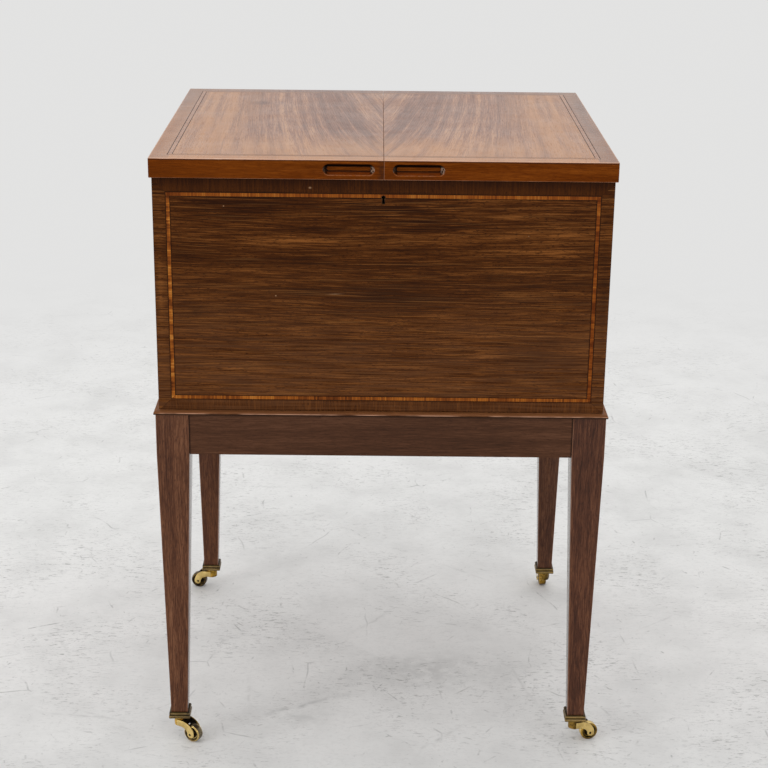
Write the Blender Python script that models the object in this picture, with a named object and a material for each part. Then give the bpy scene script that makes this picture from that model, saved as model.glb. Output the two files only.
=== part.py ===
"""Drinks cabinet on a stand: a box with a split, side-hinged lid on four tapering legs with brass casters.

Metres, +Z up, the front towards -Y, the origin on the floor under the middle of the stand.
"""

import math

import bmesh
import bpy
from mathutils import Vector

# Clearances
SEAT_GAP = 0.0003  # between pieces that touch
RUNNING_GAP = 0.0003  # radial, between a pin and its bore
LEAF_SEAM = 0.0008  # between the two lid leaves

# Overall
TOTAL_HEIGHT = 0.845
LID_WIDTH = 0.600
LID_DEPTH = 0.526
LID_THICKNESS = 0.0255
LID_OVERHANG = 0.0035  # beyond the case on every side
EDGE_SOFTENING = 0.0007

# Lid
EDGING_WIDTH = 0.0125
LID_INLAY_MARGIN = 0.0220
LID_INLAY_WIDTH = 0.0065
INLAY_DEPTH = 0.0010
RECESS_LENGTH = 0.0670
RECESS_HEIGHT = 0.0156
RECESS_DEPTH = 0.0085
RECESS_FROM_SEAM = 0.0112
RECESS_FLOOR_SHARE = 0.35  # the scoop's flat floor, as a share of the mouth's height

# Case
WALL_THICKNESS = 0.0170
CASE_BOTTOM_THICKNESS = 0.0120
FRONT_INLAY_SIDE_MARGIN = 0.0173
FRONT_INLAY_TOP_MARGIN = 0.0187
FRONT_INLAY_BOTTOM_MARGIN = 0.0152
FRONT_INLAY_WIDTH = 0.0053

# Bottle dividers
DIVIDER_THICKNESS = 0.0060
DIVIDER_HEIGHT = 0.1500
CELLS_ACROSS = 4
CELLS_DEEP = 3

# Stand
STAND_TOP = 0.4987
STAND_PROUD = 0.0045  # the legs' outer faces beyond the case
MOULDING_PROUD = 0.0068  # the moulding's edge beyond the case
MOULDING_THICKNESS = 0.0055
MOULDING_NOSE = 0.0022  # the upright part of the moulding's edge
MOULDING_FILLET = 0.0008  # the flat between the moulding's curve and the case
MOULDING_SEAT = 0.0070  # how far the moulding reaches in under the case's bottom board
LEG_SQUARE = 0.0440
LEG_OUTER_TAPER = 0.0074
FOOT_SQUARE = 0.0234
RAIL_HEIGHT = 0.0567
RAIL_THICKNESS = 0.0200
RAIL_SETBACK = 0.0015
TENON_LENGTH = 0.0200
TENON_THICKNESS = 0.0080
TENON_SHOULDER = 0.0080  # above and below the tenon

# Casters
WHEEL_RADIUS = 0.0127
WHEEL_WIDTH = 0.0125
WHEEL_HUB_RADIUS = 0.0042
WHEEL_WEB = 0.0050
WHEEL_RIM = 0.0028
WHEEL_ROUNDING = 0.0016
WHEEL_STEPS = 28
CASTER_TRAIL = 0.0220
AXLE_RADIUS = 0.0015
FORK_WIDTH = 0.0188
FORK_CHEEK = 0.0022
FORK_END_AHEAD = 0.0085  # the cheeks' round ends, beyond the axle
FORK_END_BEHIND = 0.0045  # short of the axle
FORK_END_DROP = 0.0052  # below the axle
FORK_BROW_REACH = 0.0070  # where the horn's upper edge starts to bend down
FORK_THROAT_REACH = 0.0060  # where its lower edge does
FORK_THROAT_RISE = 0.0008  # the lower edge above the hub's underside
FORK_WEB_REACH = 0.0125  # how far the horn is solid between its cheeks
FORK_HUB_RADIUS = 0.0087
FORK_HUB_HEIGHT = 0.0150
FORK_SHOULDER_DROP = 0.0042  # the horn's upper edge below the hub's top face
FORK_EASING = 0.0006
SPINDLE_RADIUS = 0.0025
SPINDLE_HEAD_RADIUS = 0.0038
SPINDLE_HEAD_HEIGHT = 0.0015
SOCKET_HALF = 0.0150
SOCKET_UNDERSIDE = 0.0360
SOCKET_HEIGHT = 0.0098
SOCKET_PLATE = 0.0030
SOCKET_RIM_INSET = 0.0015
SOCKET_MOULDING = (  # height above the underside, inset from the widest part
    (0.0000, 0.0012),
    (0.0008, 0.0000),
    (0.0041, 0.0000),
    (0.0049, 0.0010),
    (0.0057, 0.0012),
    (0.0063, 0.0006),
    (0.0086, 0.0006),
)
WHEEL_CLEARANCE = 0.0012

# Hinges
HINGE_LENGTH = 0.0630
HINGE_LEAF_WIDTH = 0.0140
HINGE_LEAF_THICKNESS = 0.0011
HINGE_FROM_END = 0.0950
HINGE_AXIS_PROUD = 0.0005  # the axis beyond the case's side
KNUCKLE_RADIUS = 0.0026
KNUCKLE_HOUSING_GAP = 0.0004
HINGE_PIN_RADIUS = 0.0010
HINGE_STEPS = 16

# Lock
LOCK_WIDTH = 0.0640
LOCK_HEIGHT = 0.0380
LOCK_THICKNESS = 0.0115
LOCK_WALL = 0.0020
LOCK_ROOM_HEIGHT = 0.0150
KEYHOLE_DROP = 0.0234  # the keyhole's round head below the case's top
KEYHOLE_RADIUS = 0.0023
KEYHOLE_LENGTH = 0.0080  # from the head's middle to the foot
KEYHOLE_WAIST = 0.0011  # half the slot's width at the head
KEYHOLE_FOOT = 0.0015  # half the slot's width at the foot
ESCUTCHEON_WALL = 0.0006
ESCUTCHEON_DEPTH = 0.0030
STRIKER_SPACING = 0.0240
STRIKER_PLATE_LENGTH = 0.0180
STRIKER_PLATE_WIDTH = 0.0090
STRIKER_PLATE_THICKNESS = 0.0014
STRIKER_LOOP_THICKNESS = 0.0020
STRIKER_LOOP_WIDTH = 0.0066
STRIKER_LOOP_DROP = 0.0105
STRIKER_EYE = 0.0038
STRIKER_SLOT_GAP = 0.0006
BOLT_FINGER = 0.0026
BOLT_POST = 0.0030
BOLT_BAR_HEIGHT = 0.0030
BOLT_TRAVEL = 0.0055
BOLT_START_GAP = 0.0010  # between a finger's tip and its loop when unlocked

# The directions that the caster wheels trail in, in degrees from +X
CASTER_TRAIL_DIRECTIONS = {
    "front_left": -30.0,
    "front_right": 14.0,
    "back_left": 170.0,
    "back_right": 90.0,
}

# How finely the curves are divided
ROUND_STEPS = 20
PIN_STEPS = 16
RECESS_LAYERS = 6
RECESS_END_STEPS = 8
KEYHOLE_HEAD_STEPS = 16
KEYHOLE_FOOT_STEPS = 6
MOULDING_STEPS = 5
HORN_STEPS = 10

CORNERS = {
    "front_left": (-1, -1),
    "front_right": (1, -1),
    "back_left": (-1, 1),
    "back_right": (1, 1),
}
SIDES = {"left": -1, "right": 1}

# Worked out from the values above
LID_UNDERSIDE = TOTAL_HEIGHT - LID_THICKNESS
CASE_TOP = LID_UNDERSIDE - SEAT_GAP
CASE_HALF_WIDTH = LID_WIDTH / 2 - LID_OVERHANG
CASE_HALF_DEPTH = LID_DEPTH / 2 - LID_OVERHANG
LEG_HALF_SPAN_X = CASE_HALF_WIDTH + STAND_PROUD
LEG_HALF_SPAN_Y = CASE_HALF_DEPTH + STAND_PROUD
FOOT_CENTRE_X = LEG_HALF_SPAN_X - LEG_OUTER_TAPER - FOOT_SQUARE / 2
FOOT_CENTRE_Y = LEG_HALF_SPAN_Y - LEG_OUTER_TAPER - FOOT_SQUARE / 2
SOCKET_TOP = SOCKET_UNDERSIDE + SOCKET_HEIGHT
SOCKET_FLOOR = SOCKET_UNDERSIDE + SOCKET_PLATE
FOOT_BOTTOM = SOCKET_FLOOR + SEAT_GAP
RAIL_UNDERSIDE = STAND_TOP - RAIL_HEIGHT
MOULDING_UNDERSIDE = STAND_TOP + SEAT_GAP
MOULDING_TOP = MOULDING_UNDERSIDE + MOULDING_THICKNESS
CASE_UNDERSIDE = MOULDING_TOP + SEAT_GAP
CASE_FLOOR = CASE_UNDERSIDE + CASE_BOTTOM_THICKNESS
INNER_HALF_WIDTH = CASE_HALF_WIDTH - WALL_THICKNESS
INNER_HALF_DEPTH = CASE_HALF_DEPTH - WALL_THICKNESS
FRONT_FACE = -CASE_HALF_DEPTH
HINGE_AXIS_X = CASE_HALF_WIDTH + HINGE_AXIS_PROUD
HINGE_AXIS_Z = (LID_UNDERSIDE + CASE_TOP) / 2
HINGE_CENTRE_Y = LID_DEPTH / 2 - HINGE_FROM_END
KNUCKLE_ROOM = KNUCKLE_RADIUS + KNUCKLE_HOUSING_GAP
PIN_BORE = HINGE_PIN_RADIUS + RUNNING_GAP
AXLE_HEIGHT = WHEEL_RADIUS * math.cos(math.pi / WHEEL_STEPS)
AXLE_BORE = AXLE_RADIUS + RUNNING_GAP
FORK_TOP = SOCKET_UNDERSIDE - SEAT_GAP
LOCK_FRONT = FRONT_FACE + WALL_THICKNESS - LOCK_THICKNESS
LOCK_BACK = FRONT_FACE + WALL_THICKNESS
LOCK_MIDDLE = (LOCK_FRONT + LOCK_BACK) / 2
LOCK_ROOM_TOP = CASE_TOP - LOCK_WALL
LOCK_ROOM_FLOOR = LOCK_ROOM_TOP - LOCK_ROOM_HEIGHT
KEYHOLE_CENTRE_Z = CASE_TOP - KEYHOLE_DROP
BOLT_FINGER_LENGTH = BOLT_TRAVEL - BOLT_START_GAP + SEAT_GAP
STRIKER_EYE_Z = LID_UNDERSIDE - STRIKER_LOOP_DROP + STRIKER_EYE

WOODS = {
    "mahogany": ((0.085, 0.031, 0.015), 0.38),
    "faded_mahogany": ((0.33, 0.16, 0.085), 0.36),
    "banding": ((0.36, 0.15, 0.05), 0.40),
    "carcase_wood": ((0.16, 0.075, 0.035), 0.60),
}
METALS = {
    "brass": ((0.60, 0.42, 0.16), 0.32),
    "dark_brass": ((0.30, 0.22, 0.11), 0.42),
    "steel": ((0.45, 0.43, 0.40), 0.40),
}


def clear_scene():
    """Remove every object."""
    for thing in list(bpy.data.objects):
        bpy.data.objects.remove(thing, do_unlink=True)


def make_material(name, finish):
    """A Principled material of one of the finishes above."""
    metallic = 1.0 if finish in METALS else 0.0
    colour, roughness = {**WOODS, **METALS}[finish]
    material = bpy.data.materials.new(name + "_finish")
    material.use_nodes = True
    shader = material.node_tree.nodes["Principled BSDF"]
    shader.inputs["Base Color"].default_value = (*colour, 1.0)
    shader.inputs["Roughness"].default_value = roughness
    shader.inputs["Metallic"].default_value = metallic
    material.diffuse_color = (*colour, 1.0)
    return material


def make_object(name, bm, place=(0, 0, 0), parent=None):
    """Turn a bmesh into an object of the scene, with its faces pointing out."""
    bmesh.ops.recalc_face_normals(bm, faces=bm.faces)
    mesh = bpy.data.meshes.new(name)
    bm.to_mesh(mesh)
    bm.free()
    thing = bpy.data.objects.new(name, mesh)
    thing.location = place
    thing.parent = parent
    bpy.context.scene.collection.objects.link(thing)
    return thing


def make_piece(name, bm, finish, place=(0, 0, 0), parent=None):
    """A named piece with a material of its own."""
    piece = make_object(name, bm, place, parent)
    piece.data.materials.append(make_material(name, finish))
    return piece


def make_axis(name, place, turn=0.0):
    """An empty that stands on a joint's axis."""
    empty = bpy.data.objects.new(name, None)
    empty.location = place
    empty.rotation_euler.z = turn
    bpy.context.scene.collection.objects.link(empty)
    return empty


def smooth(piece, degrees=35.0):
    """Shade a round piece smooth, with sharp edges above an angle."""
    piece.data.shade_smooth()
    piece.data.set_sharp_from_angle(angle=math.radians(degrees))


def soften(piece, width=EDGE_SOFTENING):
    """A narrow bevel along a piece's edges."""
    bevel = piece.modifiers.new("soft_edges", "BEVEL")
    bevel.width = width
    bevel.segments = 1
    bevel.limit_method = "ANGLE"


def combine(piece, bm, operation, label):
    """A Boolean with a helper that shares the piece's place and parent."""
    helper = make_object(f"{piece.name}_{label}_helper", bm, piece.location, piece.parent)
    helper.hide_render = True
    helper.display_type = "WIRE"
    boolean = piece.modifiers.new(label, "BOOLEAN")
    boolean.operation = operation
    boolean.solver = "EXACT"
    boolean.object = helper


def cut(piece, bm, label):
    """Take a shape out of a piece."""
    combine(piece, bm, "DIFFERENCE", label)


def fuse(piece, bm, label):
    """Add an overlapping shape to a piece."""
    combine(piece, bm, "UNION", label)


def loft(bm, loops, closed_ends=True, around=False):
    """Skin a list of point loops, each with as many points, and cap its ends or join them."""
    rings = [[bm.verts.new(point) for point in loop] for loop in loops]
    count = len(rings[0])
    pairs = list(zip(rings, rings[1:]))
    if around:
        pairs.append((rings[-1], rings[0]))
    for lower, upper in pairs:
        for i in range(count):
            j = (i + 1) % count
            bm.faces.new((lower[i], lower[j], upper[j], upper[i]))
    if closed_ends and not around:
        bm.faces.new(reversed(rings[0]))
        bm.faces.new(rings[-1])
    return bm


def box(*spans):
    """A bmesh box from its three spans, each given as two ends in any order."""
    (x0, x1), (y0, y1), (z0, z1) = [sorted(span) for span in spans]
    outline = [(x0, y0), (x1, y0), (x1, y1), (x0, y1)]
    return loft(bmesh.new(), [[(x, y, z) for x, y in outline] for z in (z0, z1)])


def prism(outline, start, end, axis="Z"):
    """Extrude a flat outline along X, Y or Z."""
    orders = {
        "X": lambda a, b, c: (c, a, b),
        "Y": lambda a, b, c: (a, c, b),
        "Z": lambda a, b, c: (a, b, c),
    }
    place = orders[axis]
    return loft(bmesh.new(), [[place(a, b, c) for a, b in outline] for c in (start, end)])


def arc(centre, radius, start, end, steps):
    """Points along an arc, angles in degrees, both ends included."""
    points = []
    for i in range(steps + 1):
        angle = math.radians(start + (end - start) * i / steps)
        points.append((centre[0] + radius * math.cos(angle), centre[1] + radius * math.sin(angle)))
    return points


def circle(centre, radius, steps=ROUND_STEPS, turn=0.0):
    """The points of a regular polygon round a centre."""
    return arc(centre, radius, turn, turn + 360.0 * (steps - 1) / steps, steps - 1)


def rectangle(half_x, half_y, chamfer=0.0):
    """A rectangle's corners round the origin, cut off by a chamfer if there is one."""
    if not chamfer:
        return [(-half_x, -half_y), (half_x, -half_y), (half_x, half_y), (-half_x, half_y)]
    a, b = half_x - chamfer, half_y - chamfer
    return [
        (-a, -half_y), (a, -half_y), (half_x, -b), (half_x, b),
        (a, half_y), (-a, half_y), (-half_x, b), (-half_x, -b),
    ]


def picture_frame(profile, half_x, half_y):
    """A closed ring with mitred corners: profile points are (outward, height) from a rectangle."""
    loops = []
    for outward, height in profile:
        corners = rectangle(half_x + outward, half_y + outward)
        loops.append([(x, y, height) for x, y in corners])
    return loft(bmesh.new(), loops, around=True)


def u_outline(side, outer_x, inner_x, seam_x, outer_y, inner_y):
    """A U round three sides of a lid leaf, open towards the seam."""
    points = [
        (seam_x, -outer_y), (outer_x, -outer_y), (outer_x, outer_y), (seam_x, outer_y),
        (seam_x, inner_y), (inner_x, inner_y), (inner_x, -inner_y), (seam_x, -inner_y),
    ]
    return [(side * x, y) for x, y in points]


def keyhole_outline(grow=0.0):
    """A keyhole about its head's middle, in X and Z: a round head over a slot that widens to a round foot."""
    radius = KEYHOLE_RADIUS + grow
    waist = KEYHOLE_WAIST + grow
    foot = KEYHOLE_FOOT + grow
    foot_centre = -(KEYHOLE_LENGTH - KEYHOLE_FOOT)
    shoulder = math.degrees(math.asin(waist / radius))
    head = arc((0, 0), radius, -90 + shoulder, 270 - shoulder, KEYHOLE_HEAD_STEPS)
    return head + arc((0, foot_centre), foot, 180, 360, KEYHOLE_FOOT_STEPS)


def at(outline, shift_a, shift_b):
    """An outline moved in its plane."""
    return [(a + shift_a, b + shift_b) for a, b in outline]


def cylinder_y(radius, start, end, centre=(0, 0), steps=ROUND_STEPS):
    """A round bar along Y."""
    return prism(circle(centre, radius, steps), start, end, "Y")


def turned(profile, steps=ROUND_STEPS):
    """A solid turned about Z from (radius, height) points, bottom to top."""
    loops = []
    for radius, height in profile:
        loops.append([(x, y, height) for x, y in circle((0, 0), radius, steps)])
    return loft(bmesh.new(), loops)


def build_legs():
    """Four legs: square at the rails, tapered on all four sides, with mortises and a bored foot."""
    foot_inner_taper = LEG_SQUARE - LEG_OUTER_TAPER - FOOT_SQUARE
    for corner, (sx, sy) in CORNERS.items():
        loops = []
        for height, outer, inner in (
            (STAND_TOP, 0.0, 0.0),
            (RAIL_UNDERSIDE, 0.0, 0.0),
            (SOCKET_TOP, LEG_OUTER_TAPER, foot_inner_taper),
            (FOOT_BOTTOM, LEG_OUTER_TAPER, foot_inner_taper),
        ):
            half = (LEG_SQUARE - outer - inner) / 2
            centre_x = sx * (LEG_HALF_SPAN_X - outer - half)
            centre_y = sy * (LEG_HALF_SPAN_Y - outer - half)
            section = at(rectangle(half, half, EDGE_SOFTENING), centre_x, centre_y)
            loops.append([(x, y, height) for x, y in section])
        leg = make_piece(f"leg_{corner}", loft(bmesh.new(), loops), "mahogany")
        cut(leg, front_rail_tenon(sx, sy, SEAT_GAP), "front_or_back_mortise")
        cut(leg, side_rail_tenon(sx, sy, SEAT_GAP), "side_mortise")
        room = circle((sx * FOOT_CENTRE_X, sy * FOOT_CENTRE_Y), SPINDLE_HEAD_RADIUS + 2 * RUNNING_GAP)
        depth = SPINDLE_HEAD_HEIGHT + 2 * SEAT_GAP
        cut(leg, prism(room, FOOT_BOTTOM - SEAT_GAP, FOOT_BOTTOM + depth), "spindle_room")


def front_rail_tenon(sx, sy, grow=0.0):
    """A tenon of the front or back rail, or its mortise when grown."""
    shoulder = LEG_HALF_SPAN_X - LEG_SQUARE
    middle = LEG_HALF_SPAN_Y - RAIL_SETBACK - RAIL_THICKNESS / 2
    half = TENON_THICKNESS / 2 + grow
    return box(
        (sx * (shoulder - TENON_SHOULDER), sx * (shoulder + TENON_LENGTH + grow)),
        (sy * (middle - half), sy * (middle + half)),
        (RAIL_UNDERSIDE + TENON_SHOULDER - grow, STAND_TOP - TENON_SHOULDER + grow),
    )


def side_rail_tenon(sx, sy, grow=0.0):
    """A tenon of a side rail, or its mortise when grown."""
    shoulder = LEG_HALF_SPAN_Y - LEG_SQUARE
    middle = LEG_HALF_SPAN_X - RAIL_SETBACK - RAIL_THICKNESS / 2
    half = TENON_THICKNESS / 2 + grow
    return box(
        (sx * (middle - half), sx * (middle + half)),
        (sy * (shoulder - TENON_SHOULDER), sy * (shoulder + TENON_LENGTH + grow)),
        (RAIL_UNDERSIDE + TENON_SHOULDER - grow, STAND_TOP - TENON_SHOULDER + grow),
    )


def build_rails():
    """Four rails between the legs, each with a tenon at both ends."""
    reach_x = LEG_HALF_SPAN_X - LEG_SQUARE - SEAT_GAP
    reach_y = LEG_HALF_SPAN_Y - LEG_SQUARE - SEAT_GAP
    height = (RAIL_UNDERSIDE, STAND_TOP)
    for name, sy in (("front", -1), ("back", 1)):
        face = sy * (LEG_HALF_SPAN_Y - RAIL_SETBACK)
        shape = box((-reach_x, reach_x), (face, face - sy * RAIL_THICKNESS), height)
        rail = make_piece(f"rail_{name}", shape, "mahogany")
        for side, sx in SIDES.items():
            fuse(rail, front_rail_tenon(sx, sy), f"{side}_tenon")
    for name, sx in SIDES.items():
        face = sx * (LEG_HALF_SPAN_X - RAIL_SETBACK)
        shape = box((face, face - sx * RAIL_THICKNESS), (-reach_y, reach_y), height)
        rail = make_piece(f"rail_{name}", shape, "mahogany")
        for end, sy in (("front", -1), ("back", 1)):
            fuse(rail, side_rail_tenon(sx, sy), f"{end}_tenon")


def build_moulding():
    """The moulded frame on the stand's top that the case sits in."""
    inward = -(WALL_THICKNESS + SEAT_GAP + MOULDING_SEAT)
    curve_width = MOULDING_PROUD - MOULDING_FILLET
    curve_height = MOULDING_THICKNESS - MOULDING_NOSE
    profile = [(inward, MOULDING_UNDERSIDE), (MOULDING_PROUD, MOULDING_UNDERSIDE)]
    for i in range(MOULDING_STEPS + 1):
        angle = math.pi / 2 * i / MOULDING_STEPS
        outward = MOULDING_FILLET + curve_width * math.cos(angle)
        profile.append((outward, MOULDING_TOP - curve_height + curve_height * math.sin(angle)))
    profile.append((inward, MOULDING_TOP))
    make_piece("stand_moulding", picture_frame(profile, CASE_HALF_WIDTH, CASE_HALF_DEPTH), "mahogany")


def front_inlay(grow=0.0):
    """The banding let into the case's front, or its groove when grown."""
    half_x = CASE_HALF_WIDTH - FRONT_INLAY_SIDE_MARGIN
    top = CASE_TOP - FRONT_INLAY_TOP_MARGIN
    bottom = CASE_UNDERSIDE + FRONT_INLAY_BOTTOM_MARGIN
    half_z = (top - bottom) / 2
    back = FRONT_FACE + INLAY_DEPTH + grow
    front = FRONT_FACE - grow
    width = FRONT_INLAY_WIDTH
    loops = []
    for outward, y in ((grow, front), (grow, back), (-width - grow, back), (-width - grow, front)):
        corners = rectangle(half_x + outward, half_z + outward)
        loops.append([(x, y, z + (top + bottom) / 2) for x, z in corners])
    return loft(bmesh.new(), loops, around=True)


def keyhole_cut(grow, front, back):
    """A keyhole-shaped bar along Y at the lock."""
    outline = at(keyhole_outline(grow), 0, KEYHOLE_CENTRE_Z)
    return prism(outline, front, back, "Y")


def build_case():
    """The four walls and the bottom board, with the lock's, hinges' and banding's housings."""
    height = (CASE_UNDERSIDE, CASE_TOP)
    liner_room = ESCUTCHEON_WALL + SEAT_GAP
    front = make_piece(
        "case_front",
        box((-CASE_HALF_WIDTH, CASE_HALF_WIDTH), (FRONT_FACE, LOCK_BACK), height),
        "mahogany",
    )
    soften(front)
    cut(front, front_inlay(SEAT_GAP), "banding_groove")
    cut(
        front,
        box(
            (-LOCK_WIDTH / 2 - SEAT_GAP, LOCK_WIDTH / 2 + SEAT_GAP),
            (LOCK_FRONT - SEAT_GAP, LOCK_BACK + SEAT_GAP),
            (CASE_TOP - LOCK_HEIGHT - SEAT_GAP, CASE_TOP + SEAT_GAP),
        ),
        "lock_housing",
    )
    cut(front, keyhole_cut(liner_room, FRONT_FACE - SEAT_GAP, LOCK_FRONT), "keyhole")

    back = make_piece(
        "case_back",
        box((-CASE_HALF_WIDTH, CASE_HALF_WIDTH), (CASE_HALF_DEPTH, INNER_HALF_DEPTH), height),
        "mahogany",
    )
    soften(back)

    for name, sx in SIDES.items():
        reach = INNER_HALF_DEPTH - SEAT_GAP
        shape = box((sx * INNER_HALF_WIDTH, sx * CASE_HALF_WIDTH), (-reach, reach), height)
        wall = make_piece(f"case_{name}_side", shape, "mahogany")
        for end, sy in (("front", -1), ("back", 1)):
            cut(wall, leaf_housing(sx, sy, -1), f"{end}_leaf_housing")
            cut(wall, knuckle_housing(sx, sy, -1), f"{end}_knuckle_housing")

    reach_x = INNER_HALF_WIDTH - SEAT_GAP
    reach_y = INNER_HALF_DEPTH - SEAT_GAP
    shape = box((-reach_x, reach_x), (-reach_y, reach_y), (CASE_UNDERSIDE, CASE_FLOOR))
    make_piece("case_bottom", shape, "carcase_wood")

    inlay = make_piece("case_front_inlay", front_inlay(), "banding")
    cut(inlay, keyhole_cut(liner_room, FRONT_FACE - SEAT_GAP, LOCK_FRONT), "keyhole")


def build_dividers():
    """Crossing boards, half lapped into each other, that part the case into cells for bottles."""
    floor = CASE_FLOOR + SEAT_GAP
    top = floor + DIVIDER_HEIGHT
    lap = floor + DIVIDER_HEIGHT / 2
    half = DIVIDER_THICKNESS / 2
    slot = half + SEAT_GAP
    reach_x = INNER_HALF_WIDTH - SEAT_GAP
    reach_y = INNER_HALF_DEPTH - SEAT_GAP
    cross_places = [reach_x * (2 * i / CELLS_ACROSS - 1) for i in range(1, CELLS_ACROSS)]
    long_places = [reach_y * (2 * i / CELLS_DEEP - 1) for i in range(1, CELLS_DEEP)]
    for number, y in enumerate(long_places, start=1):
        shape = box((-reach_x, reach_x), (y - half, y + half), (floor, top))
        board = make_piece(f"divider_long_{number}", shape, "carcase_wood")
        for order, x in enumerate(cross_places, start=1):
            notch = box((x - slot, x + slot), (y - slot, y + slot), (lap, top + SEAT_GAP))
            cut(board, notch, f"lap_{order}")
    for number, x in enumerate(cross_places, start=1):
        shape = box((x - half, x + half), (-reach_y, reach_y), (floor, top))
        board = make_piece(f"divider_cross_{number}", shape, "carcase_wood")
        for order, y in enumerate(long_places, start=1):
            notch = box((x - slot, x + slot), (y - slot, y + slot), (floor - SEAT_GAP, lap + SEAT_GAP))
            cut(board, notch, f"lap_{order}")


def leaf_housing(sx, sy, up):
    """The shallow bed of a hinge leaf, in the case's top edge or the lid's underside."""
    seat = CASE_TOP if up < 0 else LID_UNDERSIDE
    half = HINGE_LENGTH / 2 + SEAT_GAP
    return box(
        (sx * (HINGE_AXIS_X - HINGE_LEAF_WIDTH - SEAT_GAP), sx * HINGE_AXIS_X),
        (sy * HINGE_CENTRE_Y - half, sy * HINGE_CENTRE_Y + half),
        (seat - up * SEAT_GAP, seat + up * (HINGE_LEAF_THICKNESS + SEAT_GAP)),
    )


def knuckle_housing(sx, sy, up):
    """The room for a hinge's knuckle, through to the outside."""
    half = HINGE_LENGTH / 2 + SEAT_GAP
    outside = LID_WIDTH / 2 + LID_OVERHANG
    return box(
        (sx * (HINGE_AXIS_X - KNUCKLE_ROOM), sx * outside),
        (sy * HINGE_CENTRE_Y - half, sy * HINGE_CENTRE_Y + half),
        (HINGE_AXIS_Z - up * SEAT_GAP, HINGE_AXIS_Z + up * KNUCKLE_ROOM),
    )


def leaf_outline(side, knuckles):
    """A hinge leaf in plan: a plate whose tabs reach the knuckles that it carries."""
    half = HINGE_LENGTH / 2
    tab = PIN_BORE + (KNUCKLE_RADIUS - PIN_BORE) / 3
    edge = []
    for start, end in knuckles:
        edge += [(KNUCKLE_ROOM, start), (tab, start), (tab, end), (KNUCKLE_ROOM, end)]
    points = [(HINGE_LEAF_WIDTH, half), (HINGE_LEAF_WIDTH, -half)]
    if knuckles[0][0] > -half:
        edge = [(KNUCKLE_ROOM, -half)] + edge + [(KNUCKLE_ROOM, half)]
    else:
        edge = edge[1:-1]
    return [(-side * x, y) for x, y in points + edge]


def build_hinge_leaf(name, side, up, knuckles, parent, place):
    """One leaf of a butt hinge about its own axis: a plate and the knuckles that it carries."""
    bed = SEAT_GAP / 2
    half = HINGE_LENGTH / 2 + SEAT_GAP
    plate = prism(leaf_outline(side, knuckles), up * bed, up * (bed + HINGE_LEAF_THICKNESS))
    leaf = make_piece(name, plate, "brass", place, parent)
    for number, (start, end) in enumerate(knuckles, start=1):
        fuse(leaf, cylinder_y(KNUCKLE_RADIUS, start, end, steps=HINGE_STEPS), f"knuckle_{number}")
    cut(leaf, cylinder_y(PIN_BORE, -half, half, steps=HINGE_STEPS), "pin_bore")
    smooth(leaf)


def build_hinges(lid_axes):
    """Two butt hinges for each lid leaf: a leaf on the case, a leaf on the lid, and the pin."""
    half = HINGE_LENGTH / 2
    third = HINGE_LENGTH / 3
    outer_knuckles = [(-half, -half + third - SEAT_GAP), (half - third + SEAT_GAP, half)]
    middle_knuckle = [(-half + third, half - third)]
    for side_name, sx in SIDES.items():
        for end_name, sy in (("front", -1), ("back", 1)):
            name = f"hinge_{side_name}_{end_name}"
            place = (sx * HINGE_AXIS_X, sy * HINGE_CENTRE_Y, HINGE_AXIS_Z)
            along = (0, sy * HINGE_CENTRE_Y, 0)
            build_hinge_leaf(f"{name}_case_leaf", sx, -1, outer_knuckles, None, place)
            build_hinge_leaf(f"{name}_lid_leaf", sx, 1, middle_knuckle, lid_axes[side_name], along)
            pin = cylinder_y(HINGE_PIN_RADIUS, -half, half, steps=HINGE_STEPS)
            smooth(make_piece(f"{name}_pin", pin, "brass", place))


def recess_scoop(sx):
    """The finger recess's shape, relative to the lid's axis: a rounded trough with round ends."""
    mouth = RECESS_HEIGHT / 2
    straight = RECESS_LENGTH / 2 - mouth
    centre_x = sx * (RECESS_FROM_SEAM + RECESS_LENGTH / 2 - HINGE_AXIS_X)
    centre_z = LID_UNDERSIDE + LID_THICKNESS / 2 - HINGE_AXIS_Z
    front = -LID_DEPTH / 2
    loops = [(mouth, front - SEAT_GAP)]
    for i in range(RECESS_LAYERS + 1):
        angle = math.pi / 2 * i / RECESS_LAYERS
        reach = mouth * (RECESS_FLOOR_SHARE + (1 - RECESS_FLOOR_SHARE) * math.cos(angle))
        loops.append((reach, front + RECESS_DEPTH * math.sin(angle)))
    shapes = []
    for reach, y in loops:
        right_end = arc((straight, 0), reach, -90, 90, RECESS_END_STEPS)
        left_end = arc((-straight, 0), reach, 90, 270, RECESS_END_STEPS)
        outline = right_end + left_end
        shapes.append([(centre_x + x, y, centre_z + z) for x, z in outline])
    return loft(bmesh.new(), shapes)


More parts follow.
